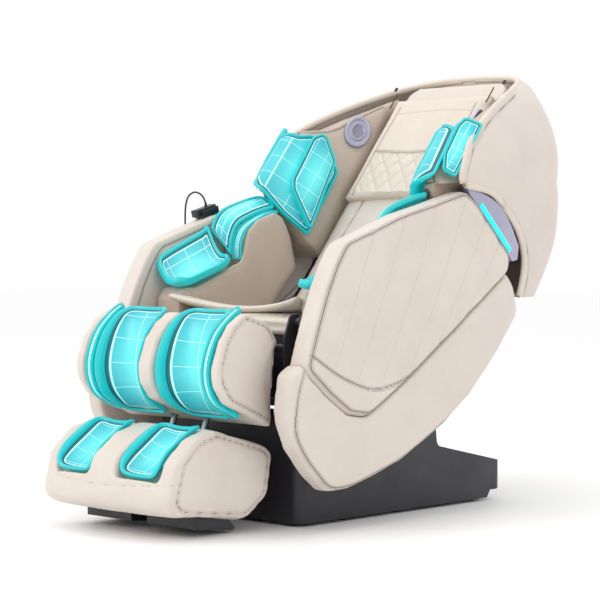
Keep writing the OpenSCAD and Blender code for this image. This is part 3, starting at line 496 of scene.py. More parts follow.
# tapered boot where the cord leaves the handset
boot = {"base": 4.6, "tip": 2.9, "height": 15, "x": -0.356, "y": -0.0365, "foot": 0.815, "rib": 0.0026}
bpy.ops.object.select_all(action="DESELECT")
bpy.ops.mesh.primitive_cone_add(vertices=28, radius1=boot["base"] * mm, radius2=boot["tip"] * mm,
                                depth=boot["height"] * mm,
                                location=(boot["x"], boot["y"], boot["foot"] + boot["height"] * mm / 2))
cordBoot = bpy.context.object
cordBoot.name = "cordBoot"
bpy.ops.object.mode_set(mode="EDIT")
bpy.ops.mesh.select_all(action="SELECT")
bpy.ops.mesh.subdivide(number_cuts=5)
bpy.ops.object.mode_set(mode="OBJECT")
settle(cordBoot)
place = pointsOf(cordBoot)
rings = 1 + 0.10 * np.sin((place[:, 2] - boot["foot"]) / boot["rib"] * math.pi)       # moulded ribs
place[:, 0] = boot["x"] + (place[:, 0] - boot["x"]) * rings
place[:, 1] = boot["y"] + (place[:, 1] - boot["y"]) * rings
movePoints(cordBoot, place)
dress(cordBoot, "seat_body", rubber)
stageDone("camera and cord")


# ---- soft bodies grown from the frame's solids ----

def copyOfNode(name, nodeName):
    mesh = nodes[nodeName].data.copy()
    obj = bpy.data.objects.new(name, mesh)
    bpy.context.collection.objects.link(obj)
    mesh.materials.clear()
    makeActive(obj)
    bpy.ops.mesh.customdata_custom_splitnormals_clear()
    bpy.ops.object.mode_set(mode="EDIT")
    bpy.ops.mesh.select_all(action="SELECT")
    bpy.ops.mesh.remove_doubles(threshold=0.00005)
    bpy.ops.object.mode_set(mode="OBJECT")
    return obj


swell = {"frames": 20, "quality": 4, "mass": 0.4, "bend": 2.0}


def inflate(obj, look):
    rest = pointsOf(obj)
    cloth = obj.modifiers.new("Cloth", "CLOTH")
    cloth.settings.quality = swell["quality"]
    cloth.settings.mass = swell["mass"]
    cloth.settings.tension_stiffness = look.get("stretch", 25)
    cloth.settings.compression_stiffness = look.get("stretch", 25)
    cloth.settings.bending_stiffness = swell["bend"]
    cloth.settings.use_pressure = True
    cloth.settings.uniform_pressure_force = look.get("pressure", 4.0)
    cloth.settings.effector_weights.gravity = 0
    cloth.point_cache.frame_start = 1
    cloth.point_cache.frame_end = swell["frames"]
    for step in range(1, swell["frames"] + 1):
        bpy.context.scene.frame_set(step)
    shaped = obj.evaluated_get(bpy.context.evaluated_depsgraph_get()).data
    flat = np.zeros(len(shaped.vertices) * 3, np.float32)
    shaped.vertices.foreach_get("co", flat)
    step = flat.reshape(-1, 3) - rest
    size = np.linalg.norm(step, axis=1)
    step *= np.minimum(1, look["cap"] * mm / np.maximum(size, 1e-9))[:, None]
    obj.modifiers.remove(cloth)
    movePoints(obj, rest + step)
    bpy.context.scene.frame_set(1)


def softCopy(name, nodeName, look):
    obj = copyOfNode(name, nodeName)
    remesh = obj.modifiers.new("Remesh", "REMESH")
    remesh.mode = "VOXEL"
    remesh.voxel_size = look["voxel"] * mm
    applyAll(obj)
    smooth = obj.modifiers.new("Smooth", "SMOOTH")
    smooth.factor = 0.5
    smooth.iterations = look["smooth"]
    applyAll(obj)
    if look.get("cap"):
        bpy.ops.object.mode_set(mode="EDIT")
        bpy.ops.mesh.select_all(action="SELECT")
        bpy.ops.transform.shrink_fatten(value=-look.get("tuck", 0.4) * look["cap"] * mm)
        bpy.ops.object.mode_set(mode="OBJECT")
        inflate(obj, look)
        relax = obj.modifiers.new("Relax", "SMOOTH")
        relax.factor = 0.5
        relax.iterations = 2
        applyAll(obj)
    if look.get("divide", True):
        finer = obj.modifiers.new("Finer", "SUBSURF")
        finer.levels = finer.render_levels = 1
        applyAll(obj)
    return obj


def sew(obj, lines):
    # grooves along sewn lines, with the distances that the leather's seam and thread read
    points, normals = pointsOf(obj), normalsOf(obj)
    seam, stitch, run = (np.ones(len(points)) for _ in range(3))
    sink = np.zeros(len(points))
    for line in lines:
        path = np.array(line["path"], float) * mm
        if line.get("round"):
            path = smoothLine(path, line["round"])
        gap, along = lineGap(line["view"](points), path)
        seen = np.ones(len(points), bool)
        for axis, low, high in line.get("only", []):
            value = normals[:, "xyz".index(axis[1])] if axis[0] == "n" else points[:, "xyz".index(axis[1])]
            seen &= (value >= low) & (value <= high)
        gap = np.where(seen, gap, 1.0)
        sink = np.maximum(sink, line["depth"] * mm * np.exp(-(gap / (line["width"] * mm)) ** 2))
        if line.get("dark", True):
            seam = np.minimum(seam, gap)
        for beside in line.get("stitches", []):
            here = np.abs(gap - beside * mm)
            nearer = here < stitch
            stitch = np.where(nearer, here, stitch)
            run = np.where(nearer, along, run)
    movePoints(obj, points - normals * sink[:, None])
    setValues(obj, "seamGap", seam)
    setValues(obj, "stitchGap", stitch)
    setValues(obj, "stitchRun", run)
    return obj


def mirrored(obj, name):
    # own mesh for the other side of the chair
    twin = bpy.data.objects.new(name, obj.data.copy())
    bpy.context.collection.objects.link(twin)
    twin.data.transform(Matrix.Scale(-1, 4, (1, 0, 0)))
    twin.data.flip_normals()
    return twin


def insetPath(corners, share):
    # a line that runs inside an outline, closed on itself
    outline = roundedOutline(corners)
    middle = outline.mean(axis=0)
    inner = middle + (outline - middle) * share
    return np.vstack([inner, inner[:1]])


# ---- side panels ----
upperPanel = {                                                            # taut leather on a moulded shell: no filling to swell
    "voxel": 6, "smooth": 9,
    "outline": [[-260, 715, 60], [-149, 752, 0], [-42, 789, 0], [72, 816, 0], [216, 854, 30], [262, 824, 20],
                [406, 684, 18], [404, 640, 30], [314, 581, 0], [163, 481, 0], [18, 387, 0], [-80, 329, 0],
                [-178, 276, 60], [-250, 288, 40], [-322, 336, 0], [-402, 402, 30], [-388, 446, 0],
                [-362, 520, 0], [-330, 599, 0], [-296, 663, 0]],
    "vee": [(-380, 440), (-291, 390), (-203, 357), (-161, 349), (-105, 352), (-19, 377), (83, 440), (235, 530),
            (353, 603), (394, 632)],
    "channels": [[(-284, 431), (-203, 626), (-152, 748)], [(-213, 373), (-106, 606), (-35, 779)],
                 [(-119, 368), (-9, 586), (86, 807)], [(-12, 396), (87, 565), (207, 826)],
                 [(100, 460), (189, 600), (290, 775)], [(212, 528), (298, 640), (352, 715)]],
}
outerFace = [("nx", 0.35, 1.0)]
innerFace = [("nx", -1.0, -0.35)]
panelLeft = softCopy("upperPanelLeft", "upper_panel_left", upperPanel)
veeLow = [(y + 3, z - 7) for y, z in upperPanel["vee"]]
panelLines = [{"path": c, "view": sideView, "only": outerFace, "depth": 3.4, "width": 13, "dark": False,
               "stitches": [0]} for c in upperPanel["channels"]]
panelLines += [{"path": c, "view": sideView, "only": outerFace, "depth": 1.2, "width": 3.2, "dark": False}
               for c in upperPanel["channels"]]
panelLines += [{"path": upperPanel["vee"], "view": sideView, "only": outerFace, "depth": 1.6, "width": 3,
                "round": 4,
                "stitches": [3]},
               {"path": veeLow, "view": sideView, "only": outerFace, "depth": 1.0, "width": 2.6, "round": 4,
                "dark": False,
                "stitches": [0]},
               {"path": insetPath(upperPanel["outline"], 0.965), "view": sideView, "only": outerFace,
                "depth": 2.0,
                "width": 3.2, "stitches": [4]},
               {"path": insetPath(upperPanel["outline"], 0.9), "view": sideView, "only": innerFace,
                "depth": 2.0,
                "width": 3.2, "stitches": [4]}]
sew(panelLeft, panelLines)
panelRight = mirrored(panelLeft, "upperPanelRight")
dress(panelLeft, "seat_body", leather, ["upper_panel_left"])
dress(panelRight, "seat_body", leather, ["upper_panel_right"])

lowerPanel = {"voxel": 6.5, "smooth": 9,
              "front": [(-404, 400), (-421, 360), (-433, 290), (-425, 246), (-398, 200), (-350, 148),
                        (-304, 112),
                        (-240, 110), (-146, 134), (-36, 168), (128, 248), (238, 320), (350, 424), (440, 528)]}
lowLeft = softCopy("lowerPanelLeft", "lower_panel_left", lowerPanel)
sew(lowLeft, [{"path": lowerPanel["front"], "view": sideView, "only": outerFace, "depth": 1.8, "width": 3.2,
               "round": 3,
               "stitches": [4]}])
lowRight = mirrored(lowLeft, "lowerPanelRight")
dress(lowLeft, "seat_body", leather, ["lower_panel_left"])
dress(lowRight, "seat_body", leather, ["lower_panel_right"])
stageDone("side panels")

# ---- arm blocks, seat ----
armBlock = {"voxel": 5.5, "smooth": 14, "cap": 3, "tuck": 0.8,
            "top": [(-250, 582), (-190, 588), (-70, 634), (-30, 650)]}
armLeft = softCopy("armBlockLeft", "arm_block_left", armBlock)
sew(armLeft, [{"path": armBlock["top"], "view": sideView, "only": [("nx", -1, -0.6)], "depth": 1.2, "width": 4,
               "round": 4,
               "dark": False}])
armRight = mirrored(armLeft, "armBlockRight")
dress(armLeft, "seat_body", paintedShadeLeather, ["arm_block_left"])
dress(armRight, "seat_body", paintedShadeLeather, ["arm_block_right"])

seatPad = {"voxel": 7, "smooth": 6, "cap": 5}
seat = softCopy("seatCushion", "seat_pad", seatPad)
seatTop = [("nz", 0.4, 1.0)]
sew(seat, [{"path": [(side * 165, -262), (side * 160, -80), (side * 150, 90)], "view": topView,
            "only": seatTop, "depth": 3,
            "width": 5, "round": 4, "stitches": [5]} for side in (-1, 1)]
    + [{"path": [(-165, -150), (0, -140), (165, -150)], "view": topView, "only": seatTop, "depth": 2.5,
        "width": 5,
        "round": 4, "stitches": [5]}])
dress(seat, "seat_body", leather, ["seat_pad"])

lip = softCopy("seatLip", "seat_lip", {"voxel": 3.2, "smooth": 6, "divide": False})
sew(lip, [{"path": [(-236, -150), (236, -150)], "view": topView, "depth": 0.8, "width": 3, "dark": False}])
dress(lip, "seat_body", leather, ["seat_lip"])

rolls = softCopy("frontRolls", "seat_fascia", {"voxel": 4, "smooth": 8, "cap": 3})
sew(rolls, [{"path": [(0, 490), (0, 491)], "view": frontView, "depth": 0, "width": 3, "dark": False}])
dress(rolls, "seat_body", leather, ["seat_fascia"])
stageDone("arm blocks and seat")

# ---- back pad, wings, head liner, pillow ----
backPad = {"voxel": 7, "smooth": 6, "cap": 8}
back = softCopy("backCushion", "back_pad", backPad)
sew(back, [{"path": [(side * 128, 14), (side * 132, 240), (side * 120, 460), (side * 120, 700)],
            "view": backView,
            "depth": 4, "width": 6, "round": 4, "stitches": [6]} for side in (-1, 1)]
    + [{"path": [(-128, 232), (0, 246), (128, 232)], "view": backView, "depth": 3.5, "width": 6, "round": 4,
        "stitches": [6]}])
dress(back, "backrest", leather, ["back_pad"])

wingLook = {"voxel": 6.5, "smooth": 12, "cap": 3, "tuck": 0.9}
wingLeft = softCopy("wingLeft", "wing_left", wingLook)
spot = toBack(pointsOf(wingLeft)) / mm                                      # outer flank falls away from the front edge
fall = np.clip(spot[:, 0] - 300, 0, 60) * np.interp(spot[:, 1], [300, 360, 520, 570], [0, 1, 1, 0])
spot[:, 2] = np.where(spot[:, 2] > 60, np.minimum(spot[:, 2], 203 - fall), spot[:, 2])
movePoints(wingLeft, fromBack(*(spot.T * mm)))
sew(wingLeft, [{"path": [(246, 30), (300, 172), (340, 192), (512, 192), (552, 160), (600, 112), (680, 72),
                         (770, 24)],
                "view": lambda p: toBack(p)[:, [1,
                                                2]], "depth": 1.6, "width": 3.4, "round": 4, "stitches": [4]}])
wingRight = mirrored(wingLeft, "wingRight")
dress(wingLeft, "backrest", paintedShadeLeather, ["wing_left"])
dress(wingRight, "backrest", paintedShadeLeather, ["wing_right"])

liner = softCopy("headLiner", "head_liner", {"voxel": 5, "smooth": 8})
sew(liner, [{"path": [(-170, 800), (170, 800)], "view": backView, "depth": 2, "width": 4, "stitches": [4]}])
dress(liner, "backrest", leather, ["head_liner"])

pillowLook = {"voxel": 4.5, "smooth": 10, "cap": 9, "tuck": 0.2}
pillow = softCopy("headPillow", "pillow_cover", pillowLook)
face = [("nz", 0.1, 1.0)]
quilt = []
for offset in range(-240, 241, 58):
    for lean in (-1, 1):
        ends = []
        for u in (446, 588):
            ends.append((offset + lean * (u - 517) * 0.82, u))
        x0, x1 = (max(-140, min(140, e[0])) for e in ends)
        if abs(x1 - x0) < 8:
            continue
        slope = (ends[1][1] - ends[0][1]) / (ends[1][0] - ends[0][0])
        quilt.append({"path": [(x0, ends[0][1] + slope * (x0 - ends[0][0])),
                               (x1, ends[0][1] + slope * (x1 - ends[0][0]))],
                      "view": backView, "only": face, "depth": 3.4, "width": 7, "dark": False, "stitches": [0]})
sew(pillow, quilt + [
    {"path": [(-146, 592), (0, 582), (146, 592)], "view": backView, "only": face, "depth": 2.5, "width": 4,
     "round": 5,
     "stitches": [5]},
    {"path": [(-150, 420), (-148, 590), (-142, 760)], "view": backView, "only": face, "depth": 1.6,
     "width": 3.5, "round": 4},
    {"path": [(150, 420), (148, 590), (142, 760)], "view": backView, "only": face, "depth": 1.6, "width": 3.5,
     "round": 4},
    {"path": [(-142, 732), (0, 740), (142, 732)], "view": backView, "only": face, "depth": 1.4, "width": 4,
     "round": 4,
     "dark": False, "stitches": [0]}])
dress(pillow, "backrest", litLeather, ["pillow_cover"])
stageDone("back cushions")

# ---- leg rest and foot unit ----
calfLook = {"voxel": 5.5, "smooth": 16, "cap": 3, "tuck": 0.7, "divide": False,
            "side": [[-486, 548, 20], [-530, 522, 0], [-562, 478, 30], [-586, 411, 30], [-582, 366, 30],
                     [-550, 322, 20],
                     [-392, 252, 8], [-384, 370, 0], [-372, 478, 20], [-408, 522, 20]]}
calf = softCopy("calfCushion", "calf_cushion", calfLook)
outerSides = [("ax", 0.2, 1.0), ("nx", 0.4, 1.0)]
otherSides = [("ax", -1.0, -0.2), ("nx", -1.0, -0.4)]
dPath = insetPath(calfLook["side"], 0.86) + np.array([6, 0])
sew(calf, [{"path": dPath, "view": sideView, "only": only, "depth": 2.2, "width": 3.6, "stitches": [5]}
           for only in (outerSides, otherSides)])
dress(calf, "leg_rest", leather, ["calf_cushion"])

footLook = {"voxel": 6, "smooth": 16, "cap": 3, "tuck": 0.7, "divide": False,
            "side": [[-566, 266, 30], [-634, 246, 30], [-694, 192, 40], [-726, 84, 40], [-690, 60, 30],
                     [-455, 32, 60],
                     [-379, 88, 40], [-361, 193, 12], [-386, 214, 10]]}
foot = softCopy("footCushion", "foot_shell", footLook)
footPath = insetPath(footLook["side"], 0.85) + np.array([4, -2])
sew(foot, [{"path": footPath, "view": sideView, "only": only, "depth": 2.2, "width": 3.6, "stitches": [5]}
           for only in (outerSides, otherSides)]
    + [{"path": [(-240, 140), (-120, 132), (0, 128), (120, 132), (240, 140)], "view": frontView,
        "only": [("ny", -1.0, -0.35)], "depth": 1.4, "width": 3.2, "round": 4, "dark": False, "stitches": [0]}])
dress(foot, "foot_unit", leather, ["foot_shell"])
stageDone("leg rest and foot unit")

# ---- hood ----
hoodLook = {"rings": [[368, 462, 566, 478, 566], [368, 462, 566, 580, 566], [371, 480, 640, 640, 640],
                      [374, 474, 702, 690, 716], [378, 430, 772, 716, 780], [381, 330, 852, 738, 846],
                      [384, 203, 876, 748, 884], [380, 215, 936, 757, 936], [368, 258, 998, 759, 985],
                      [334, 372, 1069, 757, 1045], [276, 537, 1138, 736, 1122], [208, 662, 1182, 712, 1176],
                      [110, 690, 1196, 706, 1190], [24, 694, 1199, 708, 1192]],
            "power": 5, "wall": 12, "rows": 110, "columns": 150}
hoodRows = smoothLine(hoodLook["rings"][1:], 9)
floorRows = np.array([np.array(hoodLook["rings"][0]) * (1 - t) + np.array(hoodLook["rings"][1]) * t
                      for t in (0, 0.25, 0.5, 0.75, 0.94)])
hoodRows = np.vstack([floorRows, hoodRows]) * mm


def hoodRing(ring, share):
    # even steps round one ring, from one front edge round the back to the other
    angle = np.linspace(0, math.pi, 721)
    k = 2 / hoodLook["power"]
    x = ring[0] * np.sign(np.cos(angle)) * np.abs(np.cos(angle)) ** k
    reach = np.abs(np.sin(angle)) ** k
    line = np.stack([x, ring[1] + (ring[3] - ring[1]) * reach, ring[2] + (ring[4] - ring[2]) * reach], axis=1)
    return alongLine(line, share)


def gridSkin(name, across, along):
    # a flat grid, ready to be laid over a shape; returns it with the place of each point on it
    bpy.ops.object.select_all(action="DESELECT")
    bpy.ops.mesh.primitive_grid_add(x_subdivisions=across, y_subdivisions=along, size=1, location=(0, 0, 0))
    obj = bpy.context.object
    obj.name = name
    points = pointsOf(obj)
    return obj, points[:, 0] + 0.5, points[:, 1] + 0.5


hood, u, v = gridSkin("hoodShell", hoodLook["columns"], hoodLook["rows"])
place = np.zeros((len(u), 3))
for value in np.unique(np.round(v, 5)):
    mine = np.abs(v - value) < 1e-4
    at = value * (len(hoodRows) - 1)
    low = int(min(at, len(hoodRows) - 2))
    ring = hoodRows[low] * (1 - (at - low)) + hoodRows[low + 1] * (at - low)
    place[mine] = hoodRing(ring, u[mine])
movePoints(hood, place)
closeSkin(hood, gap=None)
middle = place.mean(axis=0)
if ((place - middle) * normalsOf(hood)).sum() < 0:
    hood.data.flip_normals()
wall = hood.modifiers.new("Wall", "SOLIDIFY")
wall.thickness = hoodLook["wall"] * mm
wall.offset = -1
applyAll(hood)
sideSeam = [(740, 590), (720, 700), (712, 800), (716, 900), (720, 1000), (700, 1080), (690, 1150)]
piping = [(ring[1] + 17, ring[2] - 8) for ring in hoodLook["rings"][1:11]]
sew(hood, [{"path": piping, "view": sideView, "only": [facing], "depth": 1.0, "width": 2.2, "round": 4}
           for facing in (("nx", 0.3, 1.0), ("nx", -1.0, -0.3))]
    + [{"path": sideSeam, "view": sideView, "depth": 0.8, "width": 3, "round": 4, "dark": False,
        "stitches": [0]}])
dress(hood, "backrest", leather, ["hood_shell"])

# padded roll round the hood's front edge
rimLook = {"half": 8.0, "deep": 9.5, "inset": 5, "back": 3, "columns": 259, "rows": 20}
front = np.array([[r[0], r[1], r[2]] for r in hoodRows[len(floorRows):]])
rimPath = np.vstack([front, (front * np.array([-1, 1, 1]))[::-1]])
rimPath = alongLine(smoothLine(rimPath[::3], 3), np.linspace(0, 1, 260))
rimPath = rimPath + np.stack([-np.sign(rimPath[:, 0]) * rimLook["inset"] * mm * np.minimum(1, np.abs(rimPath[:, 0]) / 0.05),
                              np.full(len(rimPath), rimLook["back"] * mm),
                              np.full(len(rimPath), -rimLook["back"] * mm)], axis=1)
rim, u, v = gridSkin("hoodRim", rimLook["columns"], rimLook["rows"])
centre = alongLine(rimPath, u)
ahead = alongLine(rimPath, u + 0.004) - alongLine(rimPath, u - 0.004)
ahead /= np.linalg.norm(ahead, axis=1)[:, None]
sideways = np.cross(ahead, np.array([0.0, -0.78, 0.62]))
sideways /= np.linalg.norm(sideways, axis=1)[:, None]
outward = np.cross(sideways, ahead)
angle = v * 2 * math.pi
taper = np.minimum(1, np.minimum(u, 1 - u) / 0.004) ** 0.5
place = centre + (sideways * np.cos(angle)[:, None] * rimLook["half"]
                  + outward * np.sin(angle)[:, None] * rimLook["deep"]) * mm * taper[:, None]
movePoints(rim, place)
closeSkin(rim)
sew(rim, [])
dress(rim, "backrest", litLeather, [])


def backBlock(name, centre, size):
    bpy.ops.object.select_all(action="DESELECT")
    bpy.ops.mesh.primitive_cube_add(size=1)
    obj = bpy.context.object
    obj.name = name
    edge = obj.modifiers.new("Soft edges", "BEVEL")
    edge.width = 0.12
    edge.segments = 2
    applyAll(obj)
    movePoints(obj, fromBack(*((pointsOf(obj) * size + np.array(centre)) * mm).T))
    return dress(obj, "backrest", remotePlastic, [], 40)


for side in (-1, 1):                                                        # loops that hold the pillow to the hood
    backBlock("pillowLoop" + "LR"[side < 0], (side * 181, 786, 27), (3, 58, 2.5))
    backBlock("pillowTab" + "LR"[side < 0], (side * 204, 838, 22), (9, 13, 4))
stageDone("hood")


# ---- air cells ----

def makeCell(name, look, surface):
    # look: outline corners in mm, rim width, how far it stands; surface lays shares of the outline's box on the chair
    outline = roundedOutline(look["outline"])
    low, high = outline.min(axis=0), outline.max(axis=0)
    outline = alongLine(np.vstack([outline, outline[:1]]), np.linspace(0, 1, look["around"] + 1))
    middle = (low + high) / 2 + np.array(look.get("middle", (0, 0)))
    obj, u, v = gridSkin(name, look["around"], look["rings"])
    top = v < 0.62
    share = np.where(top, v / 0.62, (1 - v) / 0.38)
    share = np.where(top, 1 - (1 - share) ** 1.25, share)
    rimLine = alongLine(outline, u)
    flat = middle + (rimLine - middle) * share[:, None]
    gap, _ = lineGap(flat, outline)
    band = gap / look["rim"]
    tube = look["tube"] * np.sqrt(np.clip(1 - (2 * np.minimum(band, 1) - 1) ** 2, 0, 1))
    fill = look["fill"] * (1 - np.exp(-np.maximum(band - 1, 0) * 0.9))
    height = np.where(band < 1, np.maximum(tube, look["tube"] * 0.25 * band), look["tube"] * 0.25 + fill)
    height = np.where(top, height, -look["under"] * np.minimum(1, band * 3))
    height = np.where(gap < 0.05, 0, height)
    local = (flat - low) / (high - low)
    step = 0.004
    here = surface(local[:, 0], local[:, 1])
    alongA = surface(local[:, 0] + step, local[:, 1]) - surface(local[:, 0] - step, local[:, 1])
    alongB = surface(local[:, 0], local[:, 1] + step) - surface(local[:, 0], local[:, 1] - step)
    out = np.cross(alongA, alongB)
    out /= np.maximum(np.linalg.norm(out, axis=1), 1e-12)[:, None]
    movePoints(obj, here + out * (height * mm)[:, None] * look.get("flip", 1))
    setValues(obj, "rimBand", np.where(top, band, 0.5))
    setValues(obj, "coreShare", np.linalg.norm((local - 0.5) * 1.5, axis=1))
    setValues(obj, "gridA", local[:, 0] * look["grid"][0] + look.get("shift", (0, 0))[0])
    setValues(obj, "gridB", local[:, 1] * look["grid"][1] + look.get("shift", (0, 0))[1])
    closeSkin(obj)
    return obj


def cellPair(name, look, surface, body, stands=()):
    left = makeCell(name + "Left", look, surface)
    right = mirrored(left, name + "Right")
    dress(left, body, airCell, list(stands))
    dress(right, body, airCell, [])


faceLean = math.atan2(81, 173)
wingFace = {"x": 204, "h": 14, "bendAt": 200, "radius": 16.0}


def onWingFace(outline, lift):
    low, high = roundedOutline(outline).min(axis=0), roundedOutline(outline).max(axis=0)

    def surface(a, b):
        up = low[0] + a * (high[0] - low[0])
        u = low[1] + b * (high[1] - low[1])
        # straight up the face, round the wing's front edge, then down its outer flank
        bendAt, radius, most = wingFace["bendAt"], wingFace["radius"], math.radians(110)
        angle = np.clip((up - bendAt) / radius, 0, most)
        beyond = np.maximum(up - bendAt - radius * most, 0)
        straight = np.minimum(up, bendAt)
        turned = faceLean + angle
        x = (wingFace["x"] + straight * math.sin(faceLean) + radius * (np.cos(faceLean) - np.cos(turned))
             + beyond * np.sin(turned) - lift * np.cos(turned))
        h = (wingFace["h"] + straight * math.cos(faceLean) + radius * (np.sin(turned) - np.sin(faceLean))
             + beyond * np.cos(turned) + lift * np.sin(turned))
        return fromBack(x * mm, u * mm, h * mm)
    return surface


shoulderLow = {"outline": [[30, 256, 8], [34, 330, 0], [40, 480, 20], [110, 548, 30], [168, 532, 20],
                           [200, 506, 20],
                           [236, 490, 20], [240, 340, 26], [222, 296, 26], [190, 284, 20], [128, 266, 10]],
               "rim": 9, "tube": 9, "fill": 7, "under": 10, "around": 170, "rings": 48, "grid": (3, 5),
               "shift": (0.5, 0.3)}
shoulderHigh = {"outline": [[36, 258, 8], [145, 334, 16], [160, 362, 20], [168, 512, 20], [150, 541, 14],
                            [128, 543, 14],
                            [68, 492, 20]],
                "rim": 8, "tube": 8, "fill": 8, "under": 20, "around": 160, "rings": 48, "grid": (3, 5),
                "shift": (0.5, 0.3)}
shoulderFlank = {"outline": [[232, 404, 12], [228, 500, 20], [238, 534, 16], [292, 538, 10], [292, 352, 10],
                             [250, 354, 16]],
                 "rim": 7.5, "tube": 7, "fill": 6, "under": 8, "around": 140, "rings": 40, "grid": (1, 4),
                 "shift": (0.5, 0.3)}
cellPair("shoulderCell", shoulderLow, onWingFace(shoulderLow["outline"], 14), "backrest", ["shoulder_cells"])
cellPair("shoulderTopCell", shoulderHigh, onWingFace(shoulderHigh["outline"], 42), "backrest")
cellPair("shoulderFlankCell", shoulderFlank, onWingFace(shoulderFlank["outline"], 20), "backrest")


def ruled(inner, outer, x0, x1, bulge):
    # from a seat-side edge line to a panel-side edge line, each in (y, z), with the cross-section's own bulge
    innerLine, outerLine = smoothLine(inner, 6), smoothLine(outer, 6)

    def surface(a, b):
        lineA, lineB = alongLine(innerLine, b), alongLine(outerLine, b)
        share = np.clip(a, -0.1, 1.1)[:, None]
        at = lineA * (1 - share) + lineB * share
        return np.stack([x0 + a * (x1 - x0), at[:, 0], at[:, 1] + bulge(a, b)], axis=1) * mm
    return surface


armMain = {"outline": [[0, 0, 8], [60, 0, 26], [60, 300, 20], [0, 300, 12]], "rim": 9, "tube": 8, "fill": 6,
           "under": 8,
           "around": 160, "rings": 44, "grid": (1, 4), "shift": (0.5, 0.4)}
armInner = [(-30, 676), (-26, 722), (-4, 764), (52, 790), (100, 804), (140, 813)]
armOuter = [(-58, 746), (-40, 782), (-14, 804), (38, 822), (100, 838), (140, 843)]
cellPair("armCell", armMain, ruled(armInner, armOuter, 257, 318, lambda a, b: 7 * (1 - (2 * a - 1) ** 2)),
         "seat_body", ["arm_cells"])
armSide = {"outline": [[0, 0, 6], [34, 0, 6], [34, 290, 10], [0, 290, 10]], "rim": 7, "tube": 6, "fill": 5,
           "under": 8,
           "around": 150, "rings": 40, "grid": (1, 4), "shift": (0.5, 0.4)}
sideInner = [(-12, 668), (-10, 716), (14, 754), (50, 778), (98, 796), (136, 800)]
sideOuter = [(-24, 670), (-22, 716), (-2, 756), (52, 782), (98, 798), (136, 806)]
cellPair("armSideCell", armSide, ruled(sideInner, sideOuter, 236, 262, lambda a, b: 0 * a), "seat_body")


def trayBulge(a, b):
    # deep in the middle, a steep wall on the panel side, both ends turned up a little
    return (-34 * np.sin(np.clip(a, 0, 1) * math.pi) ** 1.2 + 14 * (1 - np.minimum(b / 0.2, 1)) ** 2
            + 10 * (1 - np.minimum((1 - b) / 0.16, 1)) ** 2)


handTray = {"outline": [[0, 0, 44], [126, 0, 30], [126, 196, 10], [0, 196, 30]], "rim": 9, "tube": 7,
            "fill": 2, "under": 14,
            "around": 170, "rings": 54, "grid": (2, 3), "shift": (0.5, 0.5)}
cellPair("handCell", handTray, ruled([(-268, 616), (-230, 616), (-190, 628), (-113, 654), (-74, 676)],
                                     [(-262, 664), (-237, 682), (-203, 700), (-131, 731),
                                      (-66, 758)], 211, 318, trayBulge),
         "seat_body", ["hand_cells"])


def between(front, floor, x0, x1, power):
    frontLine, floorLine = smoothLine(front, 6), smoothLine(floor, 6)

    def surface(a, b):
        dip = 1 - np.minimum(np.abs(2 * a - 1), 1.2) ** power
        at = alongLine(frontLine, b) * (1 - dip[:, None]) + alongLine(floorLine, b) * dip[:, None]
        return np.stack([x0 + a * (x1 - x0), at[:, 0], at[:, 1]], axis=1) * mm
    return surface


calfCell = {"outline": [[0, 0, 46], [174, 0, 46], [174, 320, 30], [0, 320, 46]], "rim": 12, "tube": 9,
            "fill": 7, "under": 2,
            "around": 190, "rings": 56, "grid": (2, 5), "flip": -1, "shift": (0.0, 0.4)}
calfFront = [(-462, 556), (-506, 528), (-548, 486), (-574, 425), (-574, 372), (-546, 324), (-470, 286)]
calfFloor = [(-446, 548), (-474, 510), (-490, 470), (-500, 410), (-490, 352), (-466, 308), (-442, 280)]
cellPair("calfCell", calfCell, between(calfFront, calfFloor, 29, 204, 3.0), "leg_rest", ["calf_cells"])
calfEdge = {"outline": [[0, 0, 13], [27, 0, 13], [27, 318, 12], [0, 318, 12]], "rim": 6.5, "tube": 6,
            "fill": 4, "under": 9,
            "around": 150, "rings": 40, "grid": (1, 6), "flip": -1, "shift": (0.5, 0.3)}
cellPair("calfEdgeCell", calfEdge, between(calfFront, calfFront, 204, 231, 3.0), "leg_rest")

footCell = {"outline": [[0, 0, 34], [146, 0, 34], [146, 200, 34], [0, 200, 34]], "rim": 11, "tube": 8,
            "fill": 3, "under": 1,
            "around": 170, "rings": 50, "grid": (2, 4), "flip": -1, "shift": (0.0, 0.5)}
footRim = [(-556, 272), (-600, 262), (-640, 241), (-688, 206), (-718, 158)]
footFloor = [(-556, 262), (-588, 224), (-622, 196), (-662, 170), (-706, 148)]
cellPair("footCell", footCell, between(footRim, footFloor, 47, 193, 2.6), "foot_unit", ["foot_cells"])
stageDone("air cells")

# ---- speakers ----
speaker = {"radius": 40, "height": 8, "stretch": 1.3, "up": 48, "along": 640}


def cutDisc(name, radius, height, steps):
    # a disc worked from its top face: each step insets, then sinks or raises
    bpy.ops.object.select_all(action="DESELECT")
    bpy.ops.mesh.primitive_cylinder_add(vertices=72, radius=radius, depth=height, location=(0, 0, height / 2))
    obj = bpy.context.object
    obj.name = name
    bpy.ops.object.mode_set(mode="EDIT")
    bpy.ops.mesh.select_all(action="DESELECT")
    bpy.ops.object.mode_set(mode="OBJECT")
    for polygon in obj.data.polygons:
        polygon.select = polygon.normal.z > 0.9
    bpy.ops.object.mode_set(mode="EDIT")
    for inset, rise in steps:
        bpy.ops.mesh.inset(thickness=inset)
        bpy.ops.transform.translate(value=(0, 0, rise))
    bpy.ops.object.mode_set(mode="OBJECT")
    bevel = obj.modifiers.new("Soft edges", "BEVEL")
    bevel.width = 0.0006
    bevel.segments = 2
    bevel.limit_method = "ANGLE"
    return obj


